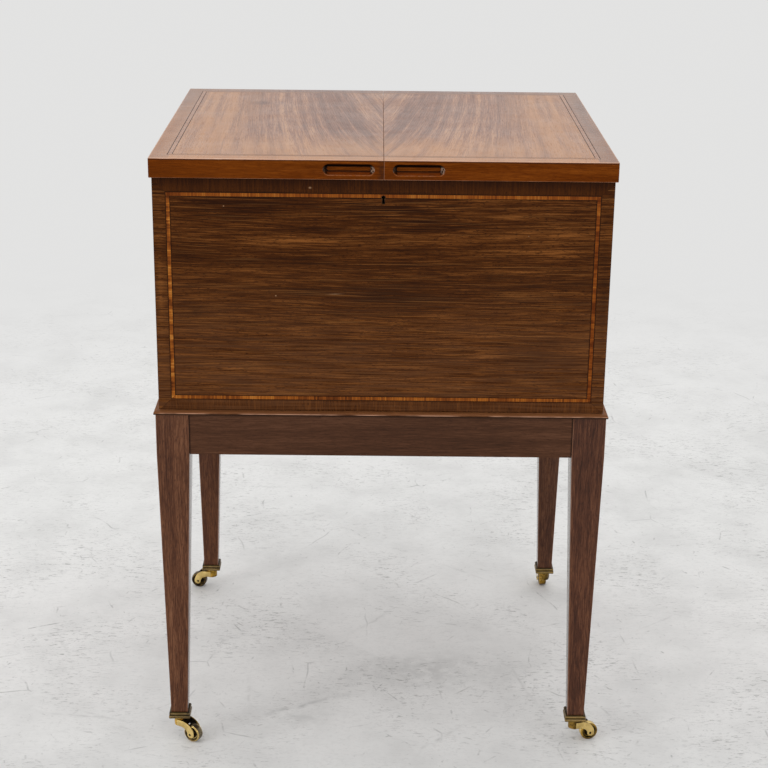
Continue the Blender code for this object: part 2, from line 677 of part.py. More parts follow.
def build_lids():
    """Two leaves that meet on a seam: a panel, an edging with its finger recess, and a let-in band."""
    axes = {}
    half_depth = LID_DEPTH / 2
    seam = LEAF_SEAM / 2
    bottom = LID_UNDERSIDE - HINGE_AXIS_Z
    top = TOTAL_HEIGHT - HINGE_AXIS_Z
    for name, sx in SIDES.items():
        axis = make_axis(f"lid_{name}_axis", (sx * HINGE_AXIS_X, 0, HINGE_AXIS_Z))
        axes[name] = axis
        edge = LID_WIDTH / 2 - EDGING_WIDTH
        inner = edge - SEAT_GAP
        panel_depth = half_depth - EDGING_WIDTH - SEAT_GAP
        shape = box(
            (sx * (seam - HINGE_AXIS_X), sx * (inner - HINGE_AXIS_X)),
            (-panel_depth, panel_depth),
            (bottom, top),
        )
        panel = make_piece(f"lid_{name}_panel", shape, "faded_mahogany", parent=axis)
        cut(panel, lid_inlay(sx, SEAT_GAP), "band_groove")

        outline = u_outline(
            sx, LID_WIDTH / 2 - HINGE_AXIS_X, edge - HINGE_AXIS_X, seam - HINGE_AXIS_X,
            half_depth, half_depth - EDGING_WIDTH,
        )
        edging = make_piece(f"lid_{name}_edging", prism(outline, bottom, top), "mahogany", parent=axis)
        cut(edging, recess_scoop(sx), "finger_recess")

        make_piece(f"lid_{name}_inlay", lid_inlay(sx), "banding", parent=axis)

        for end, sy in (("front", -1), ("back", 1)):
            for target, label in ((panel, "panel"), (edging, "edging")):
                for kind, shaper in (("leaf", leaf_housing), ("knuckle", knuckle_housing)):
                    room = shaper(sx, sy, 1)
                    shift = Vector((-sx * HINGE_AXIS_X, 0, -HINGE_AXIS_Z))
                    bmesh.ops.translate(room, verts=room.verts, vec=shift)
                    cut(target, room, f"{end}_{kind}_housing")
        room = striker_plate(sx, SEAT_GAP)
        cut(panel, room, "striker_housing")
        cut(edging, striker_plate(sx, SEAT_GAP), "striker_housing")
    return axes


def lid_inlay(sx, grow=0.0):
    """The band let into a leaf's top, or its groove when grown, relative to the lid's axis."""
    outer_x = LID_WIDTH / 2 - LID_INLAY_MARGIN + grow - HINGE_AXIS_X
    inner_x = outer_x - LID_INLAY_WIDTH - 2 * grow
    outer_y = LID_DEPTH / 2 - LID_INLAY_MARGIN + grow
    inner_y = outer_y - LID_INLAY_WIDTH - 2 * grow
    seam_x = LEAF_SEAM / 2 - grow - HINGE_AXIS_X
    outline = u_outline(sx, outer_x, inner_x, seam_x, outer_y, inner_y)
    top = TOTAL_HEIGHT - HINGE_AXIS_Z
    return prism(outline, top - INLAY_DEPTH - grow, top + grow)


def striker_plate(sx, grow=0.0):
    """A striker's plate in the lid's underside, or its bed when grown, relative to the lid's axis."""
    centre = STRIKER_SPACING / 2
    half = STRIKER_PLATE_LENGTH / 2 + grow
    half_width = STRIKER_PLATE_WIDTH / 2 + grow
    bottom = LID_UNDERSIDE - HINGE_AXIS_Z
    return box(
        (sx * (centre - half - HINGE_AXIS_X), sx * (centre + half - HINGE_AXIS_X)),
        (LOCK_MIDDLE - half_width, LOCK_MIDDLE + half_width),
        (bottom - grow, bottom + STRIKER_PLATE_THICKNESS + grow),
    )


def build_lock(lid_axes):
    """A box lock in the case's front, its bolt, a looped striker under each leaf, and the keyhole's liner."""
    half = LOCK_WIDTH / 2
    lock = make_piece(
        "lock_case",
        box((-half, half), (LOCK_FRONT, LOCK_BACK), (CASE_TOP - LOCK_HEIGHT, CASE_TOP)),
        "brass",
    )
    room = box(
        (-half + LOCK_WALL, half - LOCK_WALL),
        (LOCK_FRONT + LOCK_WALL, LOCK_BACK - LOCK_WALL),
        (LOCK_ROOM_FLOOR, LOCK_ROOM_TOP),
    )
    cut(lock, room, "bolt_room")
    slot_x = STRIKER_LOOP_THICKNESS / 2 + STRIKER_SLOT_GAP
    slot_y = STRIKER_LOOP_WIDTH / 2 + SEAT_GAP
    for name, sx in SIDES.items():
        centre = sx * STRIKER_SPACING / 2
        slot = box(
            (centre - slot_x, centre + slot_x),
            (LOCK_MIDDLE - slot_y, LOCK_MIDDLE + slot_y),
            (LOCK_ROOM_TOP - SEAT_GAP, CASE_TOP + SEAT_GAP),
        )
        cut(lock, slot, f"{name}_striker_slot")
    key_room = keyhole_cut(0.0, LOCK_FRONT - SEAT_GAP, LOCK_MIDDLE)
    cut(lock, key_room, "keyhole")

    for name, sx in SIDES.items():
        build_striker(f"lock_striker_{name}", sx, lid_axes[name])

    liner = keyhole_cut(ESCUTCHEON_WALL, FRONT_FACE, FRONT_FACE + ESCUTCHEON_DEPTH)
    escutcheon = make_piece("keyhole_escutcheon", liner, "brass")
    cut(escutcheon, keyhole_cut(0.0, FRONT_FACE - SEAT_GAP, LOCK_FRONT), "keyhole")

    build_bolt()


def build_striker(name, sx, axis):
    """A plate with a loop that hangs into the lock, relative to the lid's axis."""
    striker = make_piece(name, striker_plate(sx), "brass", parent=axis)
    centre = sx * (STRIKER_SPACING / 2 - HINGE_AXIS_X)
    half = STRIKER_LOOP_THICKNESS / 2
    top = LID_UNDERSIDE + STRIKER_PLATE_THICKNESS / 2 - HINGE_AXIS_Z
    bottom = LID_UNDERSIDE - STRIKER_LOOP_DROP - HINGE_AXIS_Z
    reach = STRIKER_LOOP_WIDTH / 2
    tongue = box((centre - half, centre + half), (LOCK_MIDDLE - reach, LOCK_MIDDLE + reach), (bottom, top))
    fuse(striker, tongue, "loop")
    eye = STRIKER_EYE / 2
    eye_z = STRIKER_EYE_Z - HINGE_AXIS_Z
    hole = box(
        (centre - 2 * half, centre + 2 * half),
        (LOCK_MIDDLE - eye, LOCK_MIDDLE + eye),
        (eye_z - eye, eye_z + eye),
    )
    cut(striker, hole, "eye")


def build_bolt():
    """The sliding bolt: a bar with two posts, each with a finger that enters a striker's eye."""
    finger = BOLT_FINGER / 2
    floor = LOCK_ROOM_FLOOR + SEAT_GAP
    before_loop = STRIKER_LOOP_THICKNESS / 2 + BOLT_START_GAP
    tips = [sx * STRIKER_SPACING / 2 - before_loop for sx in SIDES.values()]
    start = tips[0] - BOLT_FINGER_LENGTH - BOLT_POST
    eye_z = STRIKER_EYE_Z - floor
    outline = [(0, 0)]
    for tip in reversed(tips):
        post = tip - BOLT_FINGER_LENGTH - start
        if tip == tips[-1]:
            outline.append((post, 0))
        else:
            outline.append((post, BOLT_BAR_HEIGHT))
        outline += [
            (post, eye_z - finger), (tip - start, eye_z - finger),
            (tip - start, eye_z + finger), (post - BOLT_POST, eye_z + finger),
        ]
        if tip == tips[-1]:
            outline.append((post - BOLT_POST, BOLT_BAR_HEIGHT))
    place = (start, LOCK_MIDDLE, floor)
    make_piece("lock_bolt", prism(outline, -finger, finger, "Y"), "steel", place)


def build_socket(name, sx, sy):
    """A square cup with a two-step moulded rim, into which a leg's foot sits."""
    centre = (sx * FOOT_CENTRE_X, sy * FOOT_CENTRE_Y)
    cavity = FOOT_SQUARE / 2 + SEAT_GAP
    loops = [(SOCKET_UNDERSIDE + rise, SOCKET_HALF - inset) for rise, inset in SOCKET_MOULDING]
    loops.append((SOCKET_TOP, SOCKET_HALF - SOCKET_RIM_INSET))
    loops.append((SOCKET_TOP, cavity))
    loops.append((SOCKET_FLOOR, cavity))
    shapes = []
    for height, half in loops:
        shapes.append([(x, y, height) for x, y in rectangle(half, half, EDGE_SOFTENING)])
    place = (*centre, 0)
    socket = make_piece(name, loft(bmesh.new(), shapes), "dark_brass", place)
    hole = circle((0, 0), SPINDLE_RADIUS + RUNNING_GAP)
    cut(socket, prism(hole, SOCKET_UNDERSIDE - SEAT_GAP, SOCKET_FLOOR + SEAT_GAP), "spindle_bore")


def elliptic_bend(start, end, steps=HORN_STEPS):
    """A quarter of an ellipse from a level start to an upright end."""
    centre = (start[0], end[1])
    reach, rise = end[0] - start[0], start[1] - end[1]
    points = []
    for i in range(steps + 1):
        angle = math.pi / 2 * (1 - i / steps)
        points.append((centre[0] + reach * math.cos(angle), centre[1] + rise * math.sin(angle)))
    return points


def horn_outline():
    """The fork's side view: a horn that bends from the hub over to a round end at the axle."""
    throat = FORK_TOP - FORK_HUB_HEIGHT + FORK_THROAT_RISE
    top = FORK_TOP - FORK_SHOULDER_DROP
    brow = elliptic_bend((FORK_BROW_REACH, top), (CASTER_TRAIL + FORK_END_AHEAD, AXLE_HEIGHT))
    inside = elliptic_bend((FORK_THROAT_REACH, throat), (CASTER_TRAIL - FORK_END_BEHIND, AXLE_HEIGHT))
    middle = CASTER_TRAIL + (FORK_END_AHEAD - FORK_END_BEHIND) / 2
    reach = (FORK_END_AHEAD + FORK_END_BEHIND) / 2
    tip = [(middle + reach * x, AXLE_HEIGHT + FORK_END_DROP * z) for x, z in arc((0, 0), 1, 0, -180, HORN_STEPS)]
    return [(0, throat), (0, top)] + brow[:-1] + tip + list(reversed(inside[:-1]))


def wheel_room_outline():
    """The room between the cheeks, in side view: round the wheel, and open above it beyond the web."""
    room = WHEEL_RADIUS + WHEEL_CLEARANCE
    start = math.degrees(math.acos((FORK_WEB_REACH - CASTER_TRAIL) / room))
    return [(FORK_WEB_REACH, FORK_TOP)] + arc((CASTER_TRAIL, AXLE_HEIGHT), room, start, 360, WHEEL_STEPS) + [
        (CASTER_TRAIL + room, FORK_TOP),
    ]


def build_fork(name, swivel):
    """The horn: a hub with its spindle, and two cheeks that straddle the wheel."""
    half = FORK_WIDTH / 2
    slot = half - FORK_CHEEK
    fork = make_piece(name, prism(horn_outline(), -half, half, "Y"), "brass", parent=swivel)
    head_floor = SOCKET_FLOOR + SEAT_GAP
    hub = [
        (FORK_HUB_RADIUS - FORK_EASING, FORK_TOP - FORK_HUB_HEIGHT),
        (FORK_HUB_RADIUS, FORK_TOP - FORK_HUB_HEIGHT + FORK_EASING),
        (FORK_HUB_RADIUS, FORK_TOP),
        (SPINDLE_RADIUS, FORK_TOP),
        (SPINDLE_RADIUS, head_floor),
        (SPINDLE_HEAD_RADIUS, head_floor),
        (SPINDLE_HEAD_RADIUS - FORK_EASING, head_floor + SPINDLE_HEAD_HEIGHT),
    ]
    fuse(fork, turned(hub), "hub")
    axle = (CASTER_TRAIL, AXLE_HEIGHT)
    cut(fork, prism(wheel_room_outline(), -slot, slot, "Y"), "wheel_room")
    cut(fork, cylinder_y(AXLE_BORE, -half - SEAT_GAP, half + SEAT_GAP, axle, PIN_STEPS), "axle_bore")
    smooth(fork)


def wheel_profile():
    """The wheel's section as (radius, across): a hub, a thin web and a rounded rim, closed at the bore."""
    half = WHEEL_WIDTH / 2
    web = WHEEL_WEB / 2
    rim = WHEEL_RADIUS - WHEEL_RIM
    tread = half - WHEEL_ROUNDING
    near = [
        (AXLE_BORE, half),
        (WHEEL_HUB_RADIUS, half),
        (WHEEL_HUB_RADIUS + WHEEL_ROUNDING / 2, web),
        (rim - WHEEL_ROUNDING / 2, web),
        (rim, half - WHEEL_ROUNDING / 2),
        (WHEEL_RADIUS - WHEEL_ROUNDING, half - WHEEL_ROUNDING / 4),
        (WHEEL_RADIUS - WHEEL_ROUNDING / 3, tread + WHEEL_ROUNDING / 3),
        (WHEEL_RADIUS, tread),
    ]
    return near + [(radius, -across) for radius, across in reversed(near)]


def build_wheel(name, swivel):
    """A dished brass wheel with a facet on the floor, turned about its axle."""
    step = 2 * math.pi / WHEEL_STEPS
    loops = []
    for i in range(WHEEL_STEPS):
        angle = -math.pi / 2 + step * (i + 0.5)
        cos, sin = math.cos(angle), math.sin(angle)
        loops.append([(radius * cos, across, radius * sin) for radius, across in wheel_profile()])
    place = (CASTER_TRAIL, 0, AXLE_HEIGHT)
    wheel = make_piece(name, loft(bmesh.new(), loops, around=True), "dark_brass", place, swivel)
    smooth(wheel)


def build_casters():
    """A socket, a swivelling fork, an axle and a wheel at each leg."""
    for corner, (sx, sy) in CORNERS.items():
        name = f"caster_{corner}"
        build_socket(f"{name}_socket", sx, sy)
        turn = math.radians(CASTER_TRAIL_DIRECTIONS[corner])
        place = (sx * FOOT_CENTRE_X, sy * FOOT_CENTRE_Y, 0)
        swivel = make_axis(f"{name}_swivel_axis", place, turn)
        build_fork(f"{name}_fork", swivel)
        build_wheel(f"{name}_wheel", swivel)
        half = FORK_WIDTH / 2
        pin = cylinder_y(AXLE_RADIUS, -half, half, steps=PIN_STEPS)
        smooth(make_piece(f"{name}_axle", pin, "dark_brass", (CASTER_TRAIL, 0, AXLE_HEIGHT), swivel))


def main():
    """Build the whole cabinet."""
    clear_scene()
    build_legs()
    build_rails()
    build_moulding()
    build_case()
    build_dividers()
    lid_axes = build_lids()
    build_hinges(lid_axes)
    build_lock(lid_axes)
    build_casters()


main()
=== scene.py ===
"""The drinks cabinet as it looks: veneers, banding, brasswork and a worn polish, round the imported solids.

Metres, +Z up, the front towards -Y. Every piece is drawn where it stands, so its object stays at the origin.
"""

import logging
import math
from dataclasses import dataclass, field
from enum import Enum
from typing import Callable, Sequence

import bmesh
import bpy
from mathutils import Matrix, Vector


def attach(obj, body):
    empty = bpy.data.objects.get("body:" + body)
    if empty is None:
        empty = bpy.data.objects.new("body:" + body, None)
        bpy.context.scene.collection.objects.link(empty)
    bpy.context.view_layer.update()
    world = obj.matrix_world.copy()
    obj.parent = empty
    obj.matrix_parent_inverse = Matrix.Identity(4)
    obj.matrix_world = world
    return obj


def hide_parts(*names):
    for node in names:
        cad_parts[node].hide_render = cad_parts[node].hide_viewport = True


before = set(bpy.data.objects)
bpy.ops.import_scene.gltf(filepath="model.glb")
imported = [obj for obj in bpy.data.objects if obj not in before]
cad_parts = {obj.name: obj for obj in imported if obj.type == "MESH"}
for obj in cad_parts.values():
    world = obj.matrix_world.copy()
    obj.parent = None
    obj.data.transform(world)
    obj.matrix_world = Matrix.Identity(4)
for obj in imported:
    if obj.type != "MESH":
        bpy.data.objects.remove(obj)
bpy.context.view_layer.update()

log = logging.getLogger("drinks_cabinet")

Colour = tuple[float, float, float, float]
Point = tuple[float, float, float]
Flat = tuple[float, float]

SIDES = {"left": -1, "right": 1}
ENDS = {"front": -1, "back": 1}
MM = 1000.0  # millimetres in a metre
FAR = 1000.0  # a half size that takes an axis out of a mark
PALE_LIGHT: Colour = (1.0, 0.998, 0.992, 1.0)
SEEING_RAYS = ("Is Camera Ray", "Is Glossy Ray", "Is Transmission Ray")
CLEAR = 0.001  # how far a cutting shape stands out of what it cuts
PLAY = 0.0003  # between a piece and its bed
SCREW_PLAY = 0.0001  # between a screw and its hole
SCREW_SINK = 0.00005  # of a screw's face under its plate
SMALL_FACE = 0.00012  # the square metres under which a face is part of an eased edge
SHARP_ANGLE = 40.0  # the degrees over which an edge stays sharp


def tone(code: str) -> Colour:
    """A linear colour from six hex digits.

    Args:
        code: The colour as it is seen, such as "8a5a3c".

    Returns:
        Red, green, blue and a full alpha.
    """
    parts = [int(code[i:i + 2], 16) / 255 for i in (0, 2, 4)]
    linear = [p / 12.92 if p <= 0.04045 else ((p + 0.055) / 1.055) ** 2.4 for p in parts]
    return (linear[0], linear[1], linear[2], 1.0)


# Shader maths


class Wire:
    """A node's output that is written into a sum like a number."""

    def __init__(self, board: "NodeBoard", socket: bpy.types.NodeSocket) -> None:
        """Hold the socket and the board that it is on."""
        self.board = board
        self.socket = socket

    def _reckon(self, operation: str, *terms: object) -> "Wire":
        """One Math node on these terms."""
        return self.board.node("ShaderNodeMath", {"operation": operation}, dict(enumerate(terms)))

    def __add__(self, other: object) -> "Wire":
        """Self + other."""
        return self._reckon("ADD", self, other)

    def __sub__(self, other: object) -> "Wire":
        """Self - other."""
        return self._reckon("SUBTRACT", self, other)

    def __rsub__(self, other: object) -> "Wire":
        """Other - self."""
        return self._reckon("SUBTRACT", other, self)

    def __mul__(self, other: object) -> "Wire":
        """Self * other."""
        return self._reckon("MULTIPLY", self, other)

    def __truediv__(self, other: object) -> "Wire":
        """Self / other."""
        return self._reckon("DIVIDE", self, other)

    def __pow__(self, other: object) -> "Wire":
        """Self to a power."""
        return self._reckon("POWER", self, other)

    def __abs__(self) -> "Wire":
        """The value without its sign."""
        return self._reckon("ABSOLUTE", self)

    __radd__ = __add__
    __rmul__ = __mul__

    def above(self, limit: object) -> "Wire":
        """1 where the value is greater than the limit, else 0."""
        return self._reckon("GREATER_THAN", self, limit)

    def least(self, other: object) -> "Wire":
        """The lesser of the two."""
        return self._reckon("MINIMUM", self, other)

    def most(self, other: object) -> "Wire":
        """The greater of the two."""
        return self._reckon("MAXIMUM", self, other)

    def whole(self) -> "Wire":
        """The whole number below."""
        return self._reckon("FLOOR", self)

    def rest(self) -> "Wire":
        """What is over the whole number below."""
        return self._reckon("FRACT", self)

    def tinted(self, share: object, code: str) -> "Wire":
        """This colour with a share of a tone over it."""
        return self.board.mix(share, self, tone(code))

    def ease(self, low: float, high: float) -> "Wire":
        """A soft step from 0 at low to 1 at high.

        Args:
            low: Where the step starts.
            high: Where it ends, which may be the lesser value for a falling step.

        Returns:
            The step, from 0 to 1.
        """
        sockets = {"Value": self, "From Min": low, "From Max": high}
        return self.board.node("ShaderNodeMapRange", {"interpolation_type": "SMOOTHSTEP"}, sockets)


class NodeBoard:
    """A node tree, and the one method that puts nodes on it."""

    def __init__(self, tree: bpy.types.NodeTree) -> None:
        """Take over an empty tree."""
        tree.nodes.clear()
        self.tree = tree

    def node(
        self,
        kind: str,
        settings: dict[str, object] | None = None,
        sockets: dict[object, object] | None = None,
        output: int | str = 0,
    ) -> Wire:
        """Put a node on the board.

        Args:
            kind: The node's type.
            settings: Its own settings, set first. "stops" is a ramp's list of places and colours.
            sockets: Values or wires for its sockets, by name or number.
            output: The output that is wanted.

        Returns:
            That output.
        """
        made = self.tree.nodes.new(kind)
        for name, value in (settings or {}).items():
            if name == "stops":
                self._set_stops(made.color_ramp, value)
            else:
                setattr(made, name, value)
        for name, value in (sockets or {}).items():
            if isinstance(value, Wire):
                self.tree.links.new(value.socket, made.inputs[name])
            else:
                made.inputs[name].default_value = value
        return Wire(self, made.outputs[output] if made.outputs else None)

    @staticmethod
    def _set_stops(ramp: bpy.types.ColorRamp, stops: Sequence[tuple[float, Colour]]) -> None:
        """Give a ramp its stops.

        Args:
            ramp: The ramp.
            stops: The place and colour of each.
        """
        while len(ramp.elements) < len(stops):
            ramp.elements.new(1.0)
        for element, (place, colour) in zip(ramp.elements, stops):
            element.position = place
            element.color = colour

    def sides(self, vector: Wire) -> tuple[Wire, Wire, Wire]:
        """A vector's X, Y and Z."""
        outputs = self.node("ShaderNodeSeparateXYZ", sockets={0: vector}).socket.node.outputs
        return Wire(self, outputs[0]), Wire(self, outputs[1]), Wire(self, outputs[2])

    def place(self) -> Wire:
        """The place on the piece, in the cabinet's own metres."""
        return self.node("ShaderNodeTexCoord", output="Object")

    def facing(self) -> Wire:
        """The way that the surface faces, in the cabinet's own axes."""
        return self.node("ShaderNodeTexCoord", output="Normal")

    def point(self, x: object, y: object, z: object) -> Wire:
        """A vector from three values."""
        return self.node("ShaderNodeCombineXYZ", sockets={0: x, 1: y, 2: z})

    def cloud(self, vector: Wire, scale: float = 1.0, detail: float = 2.0, rough: float = 0.5) -> Wire:
        """Soft noise round 0.5."""
        sockets = {"Vector": vector, "Scale": scale, "Detail": detail, "Roughness": rough}
        return self.node("ShaderNodeTexNoise", {"noise_dimensions": "3D"}, sockets)

    def ramp(self, value: Wire, stops: Sequence[tuple[float, Colour]]) -> Wire:
        """A colour from a value."""
        return self.node("ShaderNodeValToRGB", {"stops": stops}, {0: value})

    def mix(self, share: object, first: object, second: object) -> Wire:
        """Two colours mixed, with the share of the second."""
        return self.node("ShaderNodeMix", {"data_type": "RGBA"}, {0: share, 6: first, 7: second}, output=2)

    def bump(self, height: Wire, distance: float, strength: float = 1.0) -> Wire:
        """A normal from a height in metres times its distance."""
        sockets = {"Height": height, "Distance": distance, "Strength": strength}
        return self.node("ShaderNodeBump", sockets=sockets)


@dataclass(frozen=True)
class Mark:
    """A soft-edged streak, stain, worn place or patch of painted shade: its middle and its half sizes.

    turn is its slant in degrees on the face, and strength is how much lighter it makes the wood, or darker
    where it is below 0.
    """

    middle: Point
    half: Point
    strength: float
    turn: float = 0.0

    def mask(self, place: Wire) -> Wire:
        """The mark's shape, 1 in the middle and 0 at the rim.

        Args:
            place: The place on the piece.

        Returns:
            The mask.
        """
        slant = math.radians(self.turn)
        rotation = (0.0, -slant, 0.0) if self.half[1] == FAR else (0.0, 0.0, slant)
        sockets = {"Vector": place, "Location": self.middle, "Rotation": rotation, "Scale": self.half}
        moved = place.board.node("ShaderNodeMapping", {"vector_type": "TEXTURE"}, sockets)
        settings = {"gradient_type": "QUADRATIC_SPHERE"}
        return place.board.node("ShaderNodeTexGradient", settings, {"Vector": moved}, output="Fac")


def on_front(x: float, z: float, long: float, high: float, strength: float, turn: float = 0.0) -> Mark:
    """A mark on the case's front, from its middle and half sizes in millimetres, its strength and slant."""
    return Mark((x / MM, 0.0, z / MM), (long / MM, FAR, high / MM), strength, turn)


def on_level(x: float, y: float, long: float, deep: float, strength: float, turn: float = 0.0) -> Mark:
    """The same on the lid's top or the floor."""
    return Mark((x / MM, y / MM, 0.0), (long / MM, deep / MM, FAR), strength, turn)


# Finishes


class GrainRun(Enum):
    """Which of X, Y and Z the grain runs along, and the two across it."""

    ALONG_X = (0, 2, 1)
    ALONG_Y = (1, 2, 0)
    ALONG_Z = (2, 0, 1)


class Layer(Enum):
    """A layer of the grain: its turns a metre along and across it, its detail and its roughness."""

    BEND = (2.3, 4.1, 2.0, 0.5)
    BROAD = (2.6, 16.0, 3.0, 0.5)
    BANDS = (3.6, 85.0, 3.0, 0.5)
    LINES = (36.0, 700.0, 4.0, 0.7)
    PORES = (150.0, 900.0, 2.0, 0.5)


@dataclass(frozen=True)
class Finish:
    """A named material, whose surface each kind of finish draws in its own way."""

    name: str

    def make(self) -> bpy.types.Material:
        """Draw the surface on a new material.

        Returns:
            The material.
        """
        material = bpy.data.materials.new(self.name)
        material.use_nodes = True
        board = NodeBoard(material.node_tree)
        board.node("ShaderNodeOutputMaterial", sockets={"Surface": self.surface(board.place())})
        return material

    def surface(self, place: Wire) -> Wire:
        """The shader, from the place on the piece."""
        raise NotImplementedError


@dataclass(frozen=True)
class Timber(Finish):
    """Polished mahogany: tones from dark to light, the way its grain runs, and its polish."""

    dark: str
    middle: str
    light: str
    run: GrainRun = GrainRun.ALONG_X
    seed: float = 0.0
    contrast: float = 1.0
    fine: float = 1.0
    length: float = 1.0
    pore_run: float = 1.0
    roughness: float = 0.42
    specular: float = 0.12
    coat: float = 0.0
    coat_roughness: float = 0.24
    relief: float = 0.00006
    specks: float = 0.45
    sway: float = 0.030

    def figure(self, along: Wire, across: Wire, depth: Wire, seed: float) -> tuple[Wire, Wire]:
        """The grain's figure.

        Args:
            along: Metres along the grain.
            across: Metres across it on the face.
            depth: Metres into the wood.
            seed: A shift that gives each board its own figure.

        Returns:
            The tone round 0.5, and the pores, 1 where a pore is.
        """
        board = along.board
        along = along / self.length

        def layer(kind: Layer, across: Wire, seeds: int = 1, run: float = 1.0) -> Wire:
            """One layer of the grain.

            Args:
                kind: Which layer.
                across: Metres across the grain.
                seeds: How many seeds it is shifted by.
                run: How much faster it runs along the grain.

            Returns:
                The layer's tone.
            """
            turns, wide, detail, rough = kind.value
            spot = board.point(along * (turns * run) + seeds * seed, across * wide, depth * wide)
            return board.cloud(spot, detail=detail, rough=rough)

        across = across + (layer(Layer.BEND, across) - 0.5) * self.sway
        broad, bands = layer(Layer.BROAD, across) - 0.5, layer(Layer.BANDS, across, 2) - 0.5
        streaks = broad * (0.9 * self.contrast) + bands * (0.85 * self.contrast)
        lines = (layer(Layer.LINES, across, 3) - 0.5) * (1.1 * self.fine)
        return streaks + lines + 0.5, layer(Layer.PORES, across, 1, self.pore_run).ease(0.54, 0.70)

    def colour(self, value: Wire, pores: Wire) -> Wire:
        """The wood's colour, from its tone and pores."""
        stops = [(0.22, tone(self.dark)), (0.5, tone(self.middle)), (0.82, tone(self.light))]
        return value.board.ramp(value, stops).tinted(pores * self.specks, self.dark)

    def wood(self, place: Wire) -> tuple[Wire, Wire, Wire]:
        """The wood before its polish.

        Args:
            place: The place on the piece.

        Returns:
            Its colour, its tone and its pores.
        """
        board = place.board
        sides = board.sides(place)
        along, across, depth = (sides[i] for i in self.run.value)
        value, pores = self.figure(along, across, depth, self.seed)
        return self.colour(value, pores), value, pores

    def surface(self, place: Wire) -> Wire:
        """The polished wood.

        Args:
            place: The place on the piece.

        Returns:
            The shader.
        """
        board = place.board
        colour, value, pores = self.wood(place)
        rubbed = board.cloud(place, 23.0, detail=3.0)
        return board.node("ShaderNodeBsdfPrincipled", sockets={
            "Base Color": colour,
            "Roughness": (rubbed - 0.5) * 0.22 + pores * 0.12 + self.roughness,
            "Specular IOR Level": self.specular,
            "Coat Weight": self.coat,
            "Coat Roughness": self.coat_roughness,
            "Normal": board.bump(value * 0.5 - pores, self.relief),
        })


@dataclass(frozen=True)
class CaseVeneer(Timber):
    """The case's front: level grain with its streaks, and a cross-grained margin outside the banding."""

    band_half_x: float = 0.2765
    band_top: float = 0.7979
    band_bottom: float = 0.5226
    face: float = -0.2588
    inner_face: float = -0.2428
    border_contrast: float = 0.55
    # How strong the painted shade under the lid's overhang is.
    lid_shadow: float = 0.25
    marks: tuple[Mark, ...] = ()
    nicks: tuple[Mark, ...] = ()
    bare: str = "b08a68"
    hair: str = "966434"
    # The paler tone of the painted sheen that stands for the floor's reflection low on the front.
    floor_sheen: str = "6f4a30"
    raw: str = "5b3a25"

    def wood(self, place: Wire) -> tuple[Wire, Wire, Wire]:
        """The front's wood, with its margin, its worn places, its painted shade under the lid, its painted
        sheen low down and its plain back.

        Args:
            place: The place on the piece.

        Returns:
            Its colour, its tone and its pores.
        """
        board = place.board
        x, y, z = board.sides(place)
        level, level_pores = self.figure(x, z, y, self.seed)
        upright, upright_pores = self.figure(z, x, y, self.seed + 4.0)
        past_side = abs(x) - self.band_half_x
        past_end = (z - self.band_top).most(self.band_bottom - z)
        front = 1 - y.above(self.face)
        cross = past_end.above(0.0) * past_end.above(past_side) * front
        # Painted shade of the lid's overhang: the top of the front, and all above the banding, darker.
        shade = (z.ease(0.803, 0.818) * 0.7 + z.above(self.band_top) * 0.3) * self.lid_shadow
        value = level * (1 - cross) + ((upright - 0.5) * self.border_contrast + 0.5) * cross - shade
        pores = level_pores * (1 - cross) + upright_pores * cross
        streaks = board.cloud(board.point(x * 12.0, z * 420.0, y), detail=2.0).ease(0.25, 0.7)
        # The marks are the veneer's streaks, and near the top painted shade under the lid.
        for mark in self.marks:
            value = value + mark.mask(place) * streaks * mark.strength
        colour = self.colour(value, pores)
        bend = board.cloud(board.point(x * 3.0, z * 9.0, y), detail=2.0) * 0.02
        hairs = board.cloud(board.point(x * 8.0, (z + bend) * 820.0, y), detail=1.0).ease(0.60, 0.72)
        colour = colour.tinted(hairs * (1 - cross) * 0.30, self.hair)
        # Painted sheen: the lower part of the front paler, standing for the floor's reflection.
        colour = colour.tinted(z.ease(0.74, 0.54) * streaks * 0.36, self.floor_sheen)
        for nick in self.nicks:
            colour = colour.tinted((nick.mask(place) * nick.strength).least(1.0), self.bare)
        mitre = abs(past_end - past_side).ease(0.0007, 0.0002) * past_end.above(0.0) * front
        beside = abs(past_side.most(past_end)).ease(0.0043, 0.0031) * front * (streaks * 0.5 + 0.3)
        colour = colour.tinted(beside.most(mitre * 0.5), self.dark)
        return colour.tinted(y.above(self.inner_face) * 0.75, self.raw), value, pores


